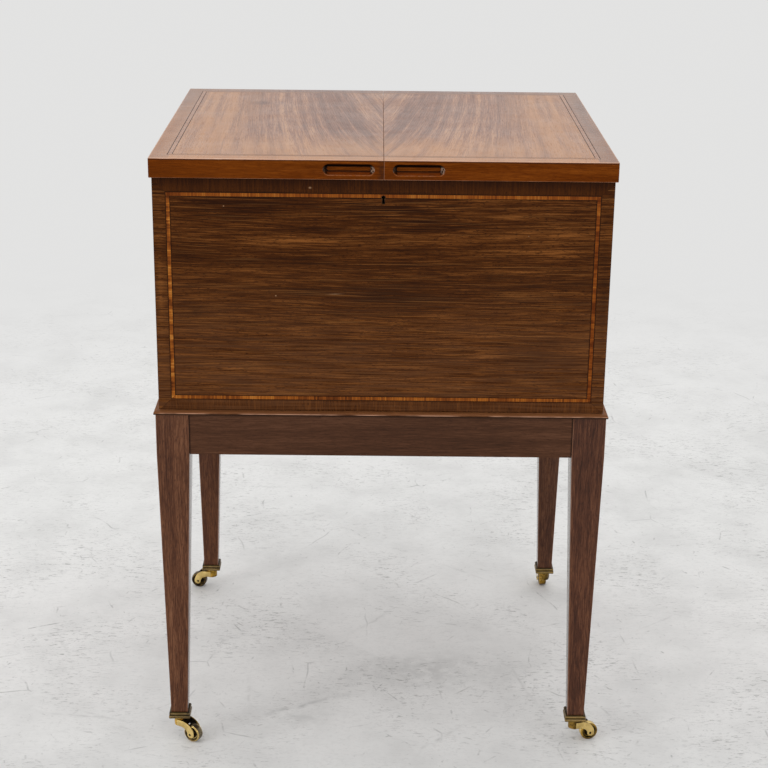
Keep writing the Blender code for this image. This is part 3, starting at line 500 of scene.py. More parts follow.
@dataclass(frozen=True)
class LidVeneer(Timber):
    """The lid's top: matched halves that fan out from the seam, and a cross-grained border."""

    half_width: float = 0.300
    half_depth: float = 0.263
    border_x: float = 0.2747
    border_y: float = 0.2377
    fan: float = 0.26
    marks: tuple[Mark, ...] = ()
    stains: tuple[Mark, ...] = ()
    stained: str = "5b3432"
    warm: str = "ba8252"
    border: str = "bb865f"
    grey: str = "735750"
    # The pale tone of the rubbed edges and of their painted highlight.
    rubbed: str = "e6c2a8"

    def wood(self, place: Wire) -> tuple[Wire, Wire, Wire]:
        """The lid's wood: its fanned halves, its stains, its border and its rubbed edges, lightened also as a
        painted highlight.

        Args:
            place: The place on the piece.

        Returns:
            Its colour, its tone and its pores.
        """
        board = place.board
        x, y, z = board.sides(place)
        out = abs(x)
        right = x.above(0.0)
        from_front = y + self.half_depth
        reach = (1 - out / self.half_width).most(0.0) ** 1.5
        across = out - from_front * reach * self.fan
        value, pores = self.figure(y, across + right * 0.013, z, self.seed)
        level, level_pores = self.figure(x, y, z, self.seed + 5.0)
        past_side = out - self.border_x
        past_end = abs(y) - self.border_y
        border = past_side.most(past_end).above(0.0)
        sideways = border * past_side.above(past_end)
        value = value * (1 - sideways) + level * sideways
        pores = pores * (1 - sideways) + level_pores * sideways
        streaks = board.cloud(board.point(across * 300.0, y * 9.0, z), detail=2.0).ease(0.2, 0.65)
        for mark in self.marks:
            value = value + mark.mask(place) * streaks * mark.strength
        colour = self.colour(value, pores)
        for stain in self.stains:
            colour = colour.tinted(stain.mask(place) * stain.strength, self.stained)
        warm = from_front.ease(0.20, 0.07).most(out.ease(0.15, 0.24))
        glow = board.cloud(board.point(across * 55.0, y * 5.0, z), detail=1.0).ease(0.35, 0.62)
        colour = colour.tinted(warm * (glow * 0.42 + 0.28), self.warm)
        sides = past_side.above(0.0) * (right * 0.40 + 0.48)
        shaded = (from_front.ease(0.10, 0.50) * 0.9).most(sides)
        colour = board.mix(border * 0.62, colour, board.mix(shaded, tone(self.border), tone(self.grey)))
        beside = abs(past_side).ease(0.0034, 0.0020) * 0.22
        ahead = abs(from_front - self.half_depth + self.border_y).ease(0.0038, 0.0022) * 0.34
        beside = (beside * (1 - past_end.above(0.003))).most(ahead * (1 - past_side.above(0.003)))
        mitre = abs(past_end - past_side).ease(0.0008, 0.0002) * border
        colour = colour.tinted(beside.most(mitre * 0.5), self.dark)
        # Rubbed pale along the front and the outer side, which along the front is also a painted highlight.
        patchy = board.cloud(board.point(x * 9.0, y, z), detail=3.0).ease(0.25, 0.65)
        worn = from_front.ease(0.0034, 0.0016).most((self.half_width - out).ease(0.0016, 0.0008) * 0.5)
        return colour.tinted(worn * (patchy * 0.5 + 0.4), self.rubbed), value, pores


@dataclass(frozen=True)
class RecessWood(Timber):
    """The finger recesses: painted shade above and at the ends, lighter and reddish below where the wall
    faces up as painted light, and painted glints on the lip and at the ends.
    """

    centre_x: float = 0.0447
    centre_z: float = 0.83225
    straight: float = 0.0257
    lip: float = 0.0069
    # In order, the tones of the painted glints, of the lower wall's painted light, of the lower lip's painted
    # highlight and of the painted shade.
    worn: str = "c8a38c"
    low: str = "843c10"
    rim: str = "94531f"
    deep: str = "0a0301"

    def wood(self, place: Wire) -> tuple[Wire, Wire, Wire]:
        """The recess's wood, from how far across and up from its middle a place is.

        Args:
            place: The place on the piece.

        Returns:
            Its colour, its tone and its pores.
        """
        board = place.board
        x, y, z = board.sides(place)
        value, pores = self.figure(x, z, y, self.seed)
        colour = self.colour(value, pores)
        across = x + self.centre_x - x.above(0.0) * (2 * self.centre_x)
        past = (abs(across) - self.straight).most(0.0)
        rise = z - self.centre_z
        away = (past * past + rise * rise) ** 0.5
        lip = away.ease(self.lip - 0.0006, self.lip + 0.0003)
        # Painted light and shade: the lower wall, which faces up, lighter and reddish; the top and the ends
        # darkened as shade, with a faintly lighter band across the middle.
        below = rise.ease(-0.0022, -0.0052)
        shade = rise.ease(-0.0062, -0.0022).most(past.ease(0.0, 0.003) * 0.9)
        shade = shade * (1 - lip * rise.ease(0.0, -0.004))
        streaks = board.cloud(board.point(x * 60.0, 0.0, z * 700.0), detail=2.0).ease(0.35, 0.65)
        colour = colour.tinted(below * (streaks * 0.5 + 0.4), self.low)
        middle = abs(rise - 0.0012).ease(0.0024, 0.0004) * past.ease(0.004, 0.0) * streaks
        colour = colour.tinted(shade * (0.965 - middle * 0.16), self.deep)
        # Painted glints at the right end and, fainter, at the left, and a painted highlight along the lower
        # lip, broken up by the rubbed noise.
        rubbed = board.cloud(place, 330.0, detail=2.0).ease(0.40, 0.60)
        right = across.ease(self.straight + 0.0014, self.straight + 0.0040)
        left = across.ease(-self.straight - 0.0032, -self.straight - 0.0058) * 0.22
        pale = right.most(left) * rise.ease(0.0050, 0.0015) * rise.ease(-0.0058, -0.0030)
        pale = pale * (rubbed * 0.66 + 0.06)
        warm = lip * rise.ease(-0.001, -0.005)
        colour = colour.tinted(warm * 0.6, self.rim)
        return colour.tinted(pale.most(warm * rubbed * 0.12), self.worn), value, pores


@dataclass(frozen=True)
class MouldingWood(Timber):
    """The moulding's wood: lighter where it faces upward, as painted light; rubbed pale along its nose, with
    a painted highlight there; and a painted shadow below it.
    """

    # Tones of the painted light on upward faces, of the rubbed nose with its painted highlight, and of the
    # painted shadow below the nose.
    upward_light: str = "a26a42"
    rubbed: str = "bf9074"
    under: str = "1e0f07"
    nose: float = 0.5014

    def colour(self, value: Wire, pores: Wire) -> Wire:
        """The wood's colour, with its painted light, its painted shadow and its rubbed nose with a painted
        highlight.

        Args:
            value: The wood's tone.
            pores: Its pores.

        Returns:
            The colour.
        """
        board = value.board
        colour = super().colour(value, pores)
        place = board.place()
        up, z = board.sides(board.facing())[2], board.sides(place)[2]
        # Painted light on the faces that turn upward.
        colour = colour.tinted(up.ease(0.15, 0.60) * 0.26, self.upward_light)
        # Painted shadow below the nose.
        colour = colour.tinted(z.ease(self.nose - 0.0003, self.nose - 0.0009) * 0.85, self.under)
        # The nose rubbed pale, which is also a painted highlight.
        patchy = board.cloud(place, 22.0, detail=3.0).ease(0.40, 0.62)
        return colour.tinted(abs(z - self.nose).ease(0.0008, 0.0003) * patchy * 0.75, self.rubbed)


@dataclass(frozen=True)
class RailWood(Timber):
    """A rail's wood, with painted shadow in the corners where it meets the legs."""

    shoulder: float = 0.257
    # The tone of the painted shadow in the corners beside the legs.
    dirt_and_shadow: str = "1a0c06"

    def colour(self, value: Wire, pores: Wire) -> Wire:
        """The wood's colour, with the painted shadow beside the legs.

        Args:
            value: The wood's tone.
            pores: Its pores.

        Returns:
            The colour.
        """
        board = value.board
        colour = super().colour(value, pores)
        along = abs(board.sides(board.place())[self.run.value[0]])
        corner = along.ease(self.shoulder - 0.0028, self.shoulder - 0.0008)
        # Painted shadow where the rail, set back, meets the legs.
        return colour.tinted(corner * 0.75, self.dirt_and_shadow)


@dataclass(frozen=True)
class LidEdge(Timber):
    """The lid's front edge: level grain, smudged left of the seam, a painted shade line along its top, and
    rubbed pale on its right.
    """

    rubbed: str = "b08a76"
    # The tone of the smudge left of the seam and of the painted shade line along the top of the edge.
    smudge_and_shade: str = "2e1b12"

    def colour(self, value: Wire, pores: Wire) -> Wire:
        """The wood's colour, with the marks at the seam and a painted shade line under the veneer.

        Args:
            value: The wood's tone.
            pores: Its pores.

        Returns:
            The colour.
        """
        board = value.board
        colour = super().colour(value, pores)
        x, _, z = board.sides(board.place())
        patch = board.cloud(board.point(x * 160.0, 0.0, z * 160.0), detail=2.0).ease(0.3, 0.7)
        dirt_and_shadow = x.ease(-0.0110, -0.0030) * (1 - x.above(0.0)) * (patch * 0.5 + 0.15)
        colour = colour.tinted(dirt_and_shadow, self.smudge_and_shade)
        colour = colour.tinted(x.ease(-0.04, -0.20) * 0.14, self.light)
        # Painted shade: a dark line along the top of the edge, under the veneer's arris.
        colour = colour.tinted(z.ease(0.8422, 0.8434) * 0.6, self.smudge_and_shade)
        return colour.tinted(x.ease(0.0013, 0.0005) * x.above(0.0) * 0.28, self.rubbed)


@dataclass(frozen=True)
class Banding(Finish):
    """A band of short cross-grained blocks, each of its own tone."""

    block: float = 0.0023
    half_x: float = 0.2794
    middle_z: float = 0.66025
    half_z: float = 0.14045
    tones: tuple[str, ...] = ("4a2208", "703a12", "8c4c18", "a5601f", "ba7833")
    shaded: str = "6b2c02"
    roughness: float = 0.45
    specular: float = 0.06

    def surface(self, place: Wire) -> Wire:
        """The blocks, their fibres and the joints between them.

        Args:
            place: The place on the piece.

        Returns:
            The shader.
        """
        board = place.board
        x, y, z = board.sides(place)
        upright = ((abs(x) - self.half_x) - (abs(z - self.middle_z) - self.half_z)).above(0.0)
        top = z.above(self.middle_z)
        steps = (x * (1 - upright) + z * upright) / self.block + 500.0
        number = steps.whole() + upright * 611.0 + top * 37.0
        settings = {"noise_dimensions": "1D"}
        chance = board.node("ShaderNodeTexWhiteNoise", settings, {"W": number}, output="Value")
        last = len(self.tones) - 1
        stops = [(0.04 + 0.94 * i / last, tone(code)) for i, code in enumerate(self.tones)]
        zone = board.cloud(place, 14.0, detail=2.0)
        patch = board.cloud(place, 62.0, detail=2.0)
        glow = top * (1 - upright) * abs(x).ease(0.27, 0.06)
        side = x.ease(0.1, -0.1) * upright
        shift = (zone - 0.5) * 1.3 + (patch - 0.5) * (upright * 2.0 + 0.5) + glow * 0.12 + side * 0.10
        blocks = board.ramp(chance * 0.46 + shift + 0.22, stops)
        fibres = board.cloud(board.point(x * 900.0, y * 900.0, z * 900.0), detail=2.0)
        blocks = blocks.tinted(fibres * 0.3, self.tones[1])
        shaded = (top * (1 - upright) * 0.26).most(x.above(0.0) * upright * 0.36)
        blocks = blocks.tinted(shaded, self.shaded)
        joint = abs(steps.rest() - 0.5).ease(0.38, 0.47)
        return board.node("ShaderNodeBsdfPrincipled", sockets={
            "Base Color": blocks.tinted(joint * 0.7, self.tones[0]),
            "Roughness": (board.cloud(place, 60.0) - 0.5) * 0.2 + self.roughness,
            "Specular IOR Level": self.specular,
            "Normal": board.bump(fibres - joint, 0.00003),
        })


@dataclass(frozen=True)
class Metal(Finish):
    """Brass or steel: a bright tone, the tone of its tarnish, which also paints its shade, and how much of it
    is tarnished.
    """

    bright: str
    tarnish: str
    share: float
    roughness: float
    shadow_side: float = 0.35
    grain: float = 160.0

    def surface(self, place: Wire) -> Wire:
        """The metal under its tarnish and painted shade, its blotches and its pits.

        Args:
            place: The place on the piece.

        Returns:
            The shader.
        """
        board = place.board
        blotches = board.cloud(place, self.grain, detail=4.0, rough=0.65)
        pits = board.cloud(place, self.grain * 9.0, detail=2.0)
        worn = blotches.ease(0.72 - 0.5 * self.share, 0.88 - 0.5 * self.share)
        tarnish_film_and_shade = board.cloud(place, self.grain * 0.45, detail=3.0, rough=0.65).ease(0.38, 0.62)
        # Painted shade: faces turned down and faces turned to the right take more of the tarnish tone.
        side, _, up = board.sides(board.facing())
        tarnish_film_and_shade = tarnish_film_and_shade * 0.38 + up.ease(0.15, -0.8) * 0.35 + side.ease(-0.45, 0.35) * self.shadow_side
        colour = board.mix(tarnish_film_and_shade, tone(self.bright), tone(self.tarnish))
        return board.node("ShaderNodeBsdfPrincipled", sockets={
            "Base Color": colour.tinted(worn, self.tarnish),
            "Roughness": worn * 0.22 + (pits - 0.5) * 0.16 + self.roughness,
            "Metallic": 1 - worn * 0.35,
            "Normal": board.bump(pits * 0.5 + blotches, 0.00006),
        })


@dataclass(frozen=True)
class StudioFloor(Finish):
    """A pale, matt floor with old scuffs and a painted shadow of the cabinet, that fades into the pale
    surroundings.

    Each of scuffs is a slant in degrees, the turns a metre across and along it, and a shift. Each of the
    scratches is the size of a net of lines, its shift, and how broken they are.
    """

    # The floor's tones from front to back: lightest under the cabinet, painted light that evens out its
    # shadow, and darker towards the front.
    front: str = "d9d9d8"
    middle: str = "e7e6e5"
    back: str = "e9e9e8"
    # The tone of the scuffs, which also paints the cabinet's shadow.
    scuff_and_shadow: str = "7b7a79"
    haze: float = 0.765
    clear_radius: float = 0.9
    haze_radius: float = 2.6
    marks: tuple[Mark, ...] = ()
    scuffs: tuple[tuple[float, float, float, float], ...] = (
        (34.0, 150.0, 40.0, 0.0), (-48.0, 170.0, 46.0, 3.1), (80.0, 130.0, 44.0, 6.4),
        (-12.0, 240.0, 60.0, 9.7), (58.0, 210.0, 38.0, 12.3),
    )
    scratches: tuple[Point, ...] = ((3.7, 1.3, 0.52), (7.0, 3.7, 0.53), (13.0, 7.9, 0.54), (27.0, 12.1, 0.55))

    def surface(self, place: Wire) -> Wire:
        """The worn floor, with its haze for rays that see it.

        Args:
            place: The place on the floor.

        Returns:
            The shader.
        """
        board = place.board
        x, y, _ = board.sides(place)
        # Painted light: the floor lighter under the cabinet against its shadow, darker towards the front.
        colour = board.mix(y.ease(-0.6, 0.05), tone(self.front), tone(self.middle))
        colour = colour.tinted(y.ease(0.05, 0.6), self.back)
        cloudy = board.cloud(place, 7.0, detail=6.0, rough=0.65).ease(0.34, 0.76)
        speckled = board.cloud(place, 130.0, detail=5.0, rough=0.7).ease(0.44, 0.72)
        colour = colour.tinted((cloudy * 0.20).most(speckled * (cloudy * 0.22 + 0.10)), self.scuff_and_shadow)
        worn = self._short(place).most(self._scratched(place))
        warp = board.cloud(place, 9.0, detail=3.0) * 0.05 - 0.025
        moved = board.point(x + warp, y - warp, 0.0)
        ragged = board.cloud(place, 60.0, detail=3.0).ease(0.25, 0.70)
        # The marks, among them the cabinet's painted shadow, darken the floor towards the scuffs' tone.
        for mark in self.marks:
            worn = worn.most(mark.mask(moved) * ragged * mark.strength)
        matt = board.node("ShaderNodeBsdfPrincipled", sockets={
            "Base Color": colour.tinted(worn, self.scuff_and_shadow),
            "Roughness": 0.55 - worn * 0.1,
            "Specular IOR Level": 0.25,
            "Normal": board.bump(board.cloud(place, 420.0), 0.0001),
        })
        haze = ((x * x + y * y) ** 0.5).ease(self.clear_radius, self.haze_radius) * seen_directly(board)
        pale = board.node("ShaderNodeEmission", sockets={"Color": PALE_LIGHT, "Strength": self.haze})
        return board.node("ShaderNodeMixShader", sockets={0: haze, 1: matt, 2: pale})

    def _short(self, place: Wire) -> Wire:
        """Short scattered scuffs at a few slants, thicker in patches, and specks of dirt.

        Args:
            place: The place on the floor.

        Returns:
            Their strength.
        """
        board = place.board
        total = board.cloud(place, 210.0, detail=2.0).ease(0.68, 0.78) * 0.8
        for turn, across, along, shift in self.scuffs:
            turned = board.node("ShaderNodeMapping", {"vector_type": "POINT"}, {
                "Vector": place,
                "Location": (shift, shift, 0.0),
                "Rotation": (0.0, 0.0, math.radians(turn)),
                "Scale": (along, across, 1.0),
            })
            total = total.most(board.cloud(turned, detail=4.0, rough=0.72).ease(0.59, 0.69))
        patchy = board.cloud(place, 5.0, detail=4.0).ease(0.42, 0.64)
        return total * (patchy * 0.58 + 0.10)

    def _scratched(self, place: Wire) -> Wire:
        """Thin scratches of many lengths that cross each other, broken off here and there.

        Args:
            place: The place on the floor.

        Returns:
            Their strength.
        """
        board = place.board
        x, y, _ = board.sides(place)
        warp = board.cloud(place, 5.0, detail=3.0) - 0.5
        total: Wire | None = None
        for scale, shift, broken in self.scratches:
            moved = board.point(x + warp * 0.07 + shift, y + warp * 0.05 - shift, 0.0)
            settings = {"voronoi_dimensions": "2D", "feature": "DISTANCE_TO_EDGE"}
            sockets = {"Vector": moved, "Scale": scale}
            edge = board.node("ShaderNodeTexVoronoi", settings, sockets, output="Distance")
            line = edge.ease(0.0022 * scale, 0.0003 * scale)
            line = line * board.cloud(moved, 2.6 * scale, detail=4.0, rough=0.7).ease(broken, broken + 0.14)
            total = line if total is None else total.most(line)
        fade = board.cloud(place, 4.0, detail=3.0).ease(0.30, 0.65)
        return total * (fade * 0.42 + 0.16)


def seen_directly(board: NodeBoard) -> Wire:
    """1 for rays of the camera, of gloss and of transmission, on the board of a material or the world."""
    camera, gloss, through = (board.node("ShaderNodeLightPath", output=ray) for ray in SEEING_RAYS)
    return camera.most(gloss).most(through)


# The marks, each row its middle and half sizes in millimetres, its strength, and its slant where it has one

# On the front, the dark rows whose middle is 750 mm high or more are painted shade under the lid's overhang.
FRONT_MARKS = tuple(on_front(*row) for row in (
    (-116, 739, 95, 11, 0.40), (-94, 715, 90, 12, -0.30), (-154, 691, 60, 6, 0.14),
    (229, 748, 85, 12, 0.42), (159, 725, 70, 7, 0.34), (234, 729, 65, 6, 0.30), (165, 700, 80, 5, 0.42),
    (138, 690, 28, 5, -0.35), (234, 707, 40, 5, 0.22), (164, 675, 130, 7, -0.42, 5),
    (63, 638, 75, 4, 0.30, 3), (7, 660, 90, 7, -0.22), (143, 584, 60, 9, 0.34), (238, 554, 34, 24, -0.20, 55),
    (42, 565, 50, 3, 0.2), (-199, 563, 60, 8, 0.22), (-217, 540, 40, 6, 0.18), (121, 762, 100, 9, -0.24),
    (-205, 774, 120, 18, -0.16), (13, 634, 50, 3, 0.22), (10, 665, 130, 45, -0.38),
    (-289, 660, 15, 190, 0.34), (289, 660, 15, 190, -0.24),
    (190, 575, 110, 50, -0.28), (20, 784, 190, 34, -0.70), (-180, 787, 140, 28, -0.70),
    (45, 760, 90, 24, -0.50), (-90, 753, 75, 14, -0.50), (222, 722, 62, 18, 0.36), (-247, 645, 40, 14, -0.38),
    (-92, 671, 60, 10, -0.42), (64, 697, 36, 12, -0.38),
))

FRONT_NICKS = tuple(on_front(*row) for row in (
    (-94, 808, 3.2, 2.2, 0.9), (-205, 783, 1.6, 1.4, 1.0), (-139, 664, 1.8, 1.6, 1.0),
    (-62, 667, 17, 1.0, 0.6, 2), (188, 747, 1.6, 1.2, 0.6),
))

LID_MARKS = tuple(on_level(*row) for row in (
    (-182, 142, 27, 30, -0.55), (-153, 148, 7, 26, -0.30), (-111, -76, 12, 190, -0.34),
    (-221, -104, 18, 170, 0.20), (-122, -167, 13, 70, 0.22), (-161, -182, 12, 64, 0.18),
    (-60, -37, 42, 170, -0.14), (42, -178, 17, 80, 0.34), (79, -190, 20, 60, 0.24), (128, -147, 9, 80, 0.30),
    (151, -87, 13, 60, 0.26), (228, -13, 16, 190, 0.24), (26, 84, 26, 130, -0.20), (124, 90, 46, 200, -0.14),
    (45, 212, 34, 22, 0.22), (292, 60, 16, 330, -0.80), (-292, 60, 16, 330, -0.34), (-182, 145, 16, 17, -0.5),
))

LID_STAINS = tuple(on_level(*row) for row in (
    (-181, 143, 21, 20, 0.55), (-150, 145, 5, 18, 0.35), (-205, 176, 24, 6, 0.18),
))

# On the floor, the first row is the cabinet's soft shadow, painted; the rest are scuffs and smears.
FLOOR_MARKS = tuple(on_level(*row) for row in (
    (85, -45, 210, 120, 0.30), (-90, 200, 160, 90, 0.14), (-116, -158, 175, 13, 0.50, 30),
    (74, -36, 90, 10, 0.40, 38), (92, -247, 85, 7, 0.50, 50), (216, -73, 125, 6, 0.40, -74),
    (-194, -116, 90, 5, 0.32, -88), (-491, 75, 130, 6, 0.30, 18), (-503, 46, 120, 5, 0.30, -70),
    (-426, -192, 125, 7, 0.34, -8), (-3, 127, 120, 6, 0.30, 45), (151, 310, 90, 6, 0.28, -40),
    (467, 136, 120, 5, 0.24, 44), (-110, -190, 110, 50, 0.26, 20),
))

# The finishes

Options = dict[str, object]
ALONG_Y: Options = {"run": GrainRun.ALONG_Y}
FRONT_WOOD: Options = dict(dark="2a1205", middle="462308", light="7d4b21", contrast=0.36, fine=1.2,
                           specular=0.05, specks=0.8)
PLAIN_WOOD: Options = {**FRONT_WOOD, "fine": 0.75, "length": 1.8}
EDGE_WOOD: Options = dict(dark="441a02", middle="602b03", light="84450f", contrast=0.6, fine=0.8,
                          specular=0.03)
INSIDE_WOOD: Options = dict(dark="4a2c1a", middle="6b452c", light="8d6242", roughness=0.6)
RAIL_TONES: Options = dict(dark="2f1a0e", middle="4a2d1c", light="684430", contrast=0.5, fine=0.7)
MOULDING_TONES: Options = dict(dark="361a0b", middle="58341a", light="84583a", roughness=0.38, specular=0.10)
LEG_WOOD: Options = dict(run=GrainRun.ALONG_Z, contrast=0.62, fine=1.15, specks=0.6, roughness=0.38)
LEG_TONES = (
    ("leg_front_left", "311609", "58331e", "7e543a"), ("leg_front_right", "281209", "4a2919", "6e452e"),
    ("leg_back_left", "2c150a", "4c2a18", "6c4329"), ("leg_back_right", "2c150b", "4c2c1b", "6e4831"),
)

FINISHES: tuple[Finish, ...] = (
    CaseVeneer("case_front_veneer", **FRONT_WOOD, length=1.7, pore_run=2.1, seed=1.3, marks=FRONT_MARKS,
               nicks=FRONT_NICKS),
    Timber("case_back_veneer", **PLAIN_WOOD, seed=7.9),
    Timber("case_side_veneer", **PLAIN_WOOD, **ALONG_Y, seed=3.7),
    LidVeneer("lid_top_veneer", "704633", "96674f", "bc8b66", seed=2.1, contrast=1.05, fine=1.5, length=2.2,
              roughness=0.36, specular=0.5, coat=0.2, marks=LID_MARKS, stains=LID_STAINS),
    LidEdge("lid_edge_front_grain", **EDGE_WOOD, seed=5.9),
    # The veneer's edge below the arris's highlight, painted dark as shade.
    Timber("lid_edge_shadow_line", "220c03", "3a1805", "5a2b10", seed=5.9),
    Timber("lid_edge_side_grain", **EDGE_WOOD, **ALONG_Y, seed=6.4),
    RecessWood("finger_recess", "31130a", "5c2c12", "8a5029", seed=8.8, roughness=0.4, specular=0.04),
    # The lid's top arris: worn pale, with a painted highlight.
    Timber("lid_arris_wear_and_highlight", "8a6048", "bb8a6e", "dcb49c", seed=4.4, specular=0.3),
    # The edging's lower arris: worn pale, with a painted highlight.
    Timber("lid_edge_arris_wear_and_highlight", "6b3f25", "96654a", "b58a6e", seed=4.9),
    Timber("lid_underside", "3a1d0e", "58321d", "7a4e32", **ALONG_Y, seed=9.3, roughness=0.5),
    Timber("carcase_wood_across", **INSIDE_WOOD, seed=10.1),
    Timber("carcase_wood_deep", **INSIDE_WOOD, **ALONG_Y, seed=11.6),
    RailWood("rail_grain_across", **RAIL_TONES, seed=12.5),
    RailWood("rail_grain_deep", **RAIL_TONES, **ALONG_Y, seed=13.7, shoulder=0.220),
    *(Timber(f"{name}_grain", *tones, **LEG_WOOD, seed=14.0 + 1.7 * number, coat=0.2, coat_roughness=0.15)
      for number, (name, *tones) in enumerate(LEG_TONES)),
    Timber("leg_inner_side", "2e170b", "52331f", "775238", **LEG_WOOD, seed=20.2, coat=0.75,
           coat_roughness=0.10),
    Timber("leg_worn_arris", "4a2b1b", "704a36", "957260", run=GrainRun.ALONG_Z, seed=21.0),
    MouldingWood("moulding_grain_across", **MOULDING_TONES, seed=22.3),
    MouldingWood("moulding_grain_deep", **MOULDING_TONES, **ALONG_Y, seed=23.9),
    Banding("front_banding_blocks"),
    Timber("dark_stringing", "0e0704", "1a0e08", "33200f", seed=24.4, specular=0.05),
    Timber("lid_dark_stringing", "1c0a05", "2e140b", "472517", seed=24.9, specular=0.08),
    Timber("lid_band_front_veneer", "8a6450", "a67f67", "bb957c", seed=25.1),
    Timber("lid_band_veneer", "8e6249", "a3755a", "b88a6c", seed=25.6, contrast=0.5, roughness=0.36,
           specular=0.5, coat=0.2),
    Metal("brass_bright", "ebbb52", "46320f", 0.36, 0.18, 0.50, 300.0),
    Metal("brass_olive", "b48e42", "3a2a0e", 0.46, 0.20, 0.62, 300.0),
    Metal("brass_rubbed_edge", "f4d68c", "9a7c42", 0.15, 0.16, 0.20),
    Metal("brass_worn_line", "ad9262", "655233", 0.40, 0.26),
    Metal("brass_groove", "5e4c2c", "2e2413", 0.50, 0.40),
    Metal("brass_deep_tarnish", "3a2d17", "171008", 0.60, 0.45),
    Metal("wheel_bright_brass", "a8873f", "453516", 0.50, 0.26, 0.45),
    Metal("wheel_greyed_brass", "a69678", "3a3021", 0.45, 0.30, grain=220.0),
    Metal("wheel_tarnished_brass", "80693f", "2c2114", 0.60, 0.30),
    Metal("socket_tarnished_brass", "927b54", "54442a", 0.50, 0.34),
    Metal("socket_worn_brass", "a5884f", "54431f", 0.45, 0.32),
    Metal("hinge_brass", "c4a15d", "4d3d20", 0.35, 0.32),
    Metal("lock_brass", "b89656", "43351d", 0.4, 0.34),
    Metal("keyhole_worn_rim", "7c5744", "3a241a", 0.5, 0.42),
    # Near black: painted shade inside the keyhole's liner and the lock's box.
    Metal("painted_shade_inside", "15100b", "0a0705", 0.7, 0.6),
    Metal("lock_steel", "8e8a84", "45403a", 0.35, 0.36),
)


# Mesh drawing


class Smoothing(Enum):
    """How a piece's faces are shaded."""

    JOINERY = "large faces flat, eased edges smooth"
    ROUND = "smooth apart from sharp edges"


def placed(name: str, data: bpy.types.ID) -> bpy.types.Object:
    """Put a mesh, a lamp or a camera into the scene.

    Args:
        name: The object's name.
        data: What it shows.

    Returns:
        The object.
    """
    thing = bpy.data.objects.new(name, data)
    bpy.context.scene.collection.objects.link(thing)
    return thing


class Draft:
    """A closed shape being drawn."""

    def __init__(self) -> None:
        """Start with nothing drawn."""
        self.bm = bmesh.new()

    def skin(self, loops: Sequence[Sequence[Point]], around: bool = False) -> "Draft":
        """Skin a list of point loops, each with as many points, and cap the ends or join them.

        Args:
            loops: The loops in order.
            around: True if the last loop joins the first.

        Returns:
            This draft.
        """
        rings = [[self.bm.verts.new(point) for point in loop] for loop in loops]
        pairs = list(zip(rings, rings[1:]))
        if around:
            pairs.append((rings[-1], rings[0]))
        count = len(rings[0])
        for lower, upper in pairs:
            for i in range(count):
                j = (i + 1) % count
                self.bm.faces.new((lower[i], lower[j], upper[j], upper[i]))
        if not around:
            self.bm.faces.new(reversed(rings[0]))
            self.bm.faces.new(rings[-1])
        return self.outward()

    def outward(self) -> "Draft":
        """Turn all faces out."""
        bmesh.ops.recalc_face_normals(self.bm, faces=self.bm.faces)
        return self

    def moved(self, matrix: Matrix) -> "Draft":
        """Move the whole draft."""
        bmesh.ops.transform(self.bm, matrix=matrix, verts=self.bm.verts)
        return self

    def _combine(self, other: "Draft", operation: str) -> "Draft":
        """An exact Boolean with another draft, which is used up.

        Args:
            other: The other shape.
            operation: DIFFERENCE or UNION.

        Returns:
            This draft.
        """
        made = []
        for draft, label in ((self, "body"), (other, "tool")):
            mesh = bpy.data.meshes.new(label)
            draft.outward().bm.to_mesh(mesh)
            draft.bm.free()
            made.append(placed(label, mesh))
        body, tool = made
        boolean = body.modifiers.new(operation, "BOOLEAN")
        boolean.operation = operation
        boolean.solver = "EXACT"
        boolean.object = tool
        graph = bpy.context.evaluated_depsgraph_get()
        result = bpy.data.meshes.new_from_object(body.evaluated_get(graph))
        self.bm = bmesh.new()
        self.bm.from_mesh(result)
        bmesh.ops.remove_doubles(self.bm, verts=self.bm.verts, dist=1e-7)
        for thing in made:
            mesh = thing.data
            bpy.data.objects.remove(thing, do_unlink=True)
            bpy.data.meshes.remove(mesh)
        bpy.data.meshes.remove(result)
        return self

    def carve(self, *tools: "Draft") -> "Draft":
        """Take other shapes out of this one.

        Args:
            tools: The other shapes, which are used up.

        Returns:
            This draft.
        """
        for tool in tools:
            self._combine(tool, "DIFFERENCE")
        return self

    def fuse(self, other: "Draft") -> "Draft":
        """Add an overlapping shape, which is used up, to this one."""
        return self._combine(other, "UNION")


def raised(outline: Sequence[Flat], height: float) -> list[Point]:
    """An outline laid level at a height."""
    return [(x, y, height) for x, y in outline]


def bend(steps: int, first: int = 0) -> list[Flat]:
    """The cosine and sine of each step of a quarter turn, from its first or a later step."""
    angles = [math.pi / 2 * i / steps for i in range(first, steps + 1)]
    return [(math.cos(angle), math.sin(angle)) for angle in angles]


def block(x: Flat, y: Flat, z: Flat) -> Draft:
    """A block from its three spans.

    Args:
        x: Its two ends across, in any order.
        y: Its two ends from front to back.
        z: Its two ends in height.

    Returns:
        The draft.
    """
    (x0, x1), (y0, y1), (z0, z1) = sorted(x), sorted(y), sorted(z)
    outline = [(x0, y0), (x1, y0), (x1, y1), (x0, y1)]
    return Draft().skin([raised(outline, height) for height in (z0, z1)])


def bar(outline: Sequence[Flat], levels: Sequence[float], axis: str = "Z") -> Draft:
    """An outline run along X, Y or Z.

    Args:
        outline: The outline in the other two axes.
        levels: The two ends.
        axis: The axis that it runs along.

    Returns:
        The draft.
    """
    orders: dict[str, Callable[[float, float, float], Point]] = {
        "X": lambda a, b, c: (c, a, b),
        "Y": lambda a, b, c: (a, c, b),
        "Z": lambda a, b, c: (a, b, c),
    }
    return Draft().skin([[orders[axis](a, b, c) for a, b in outline] for c in levels])


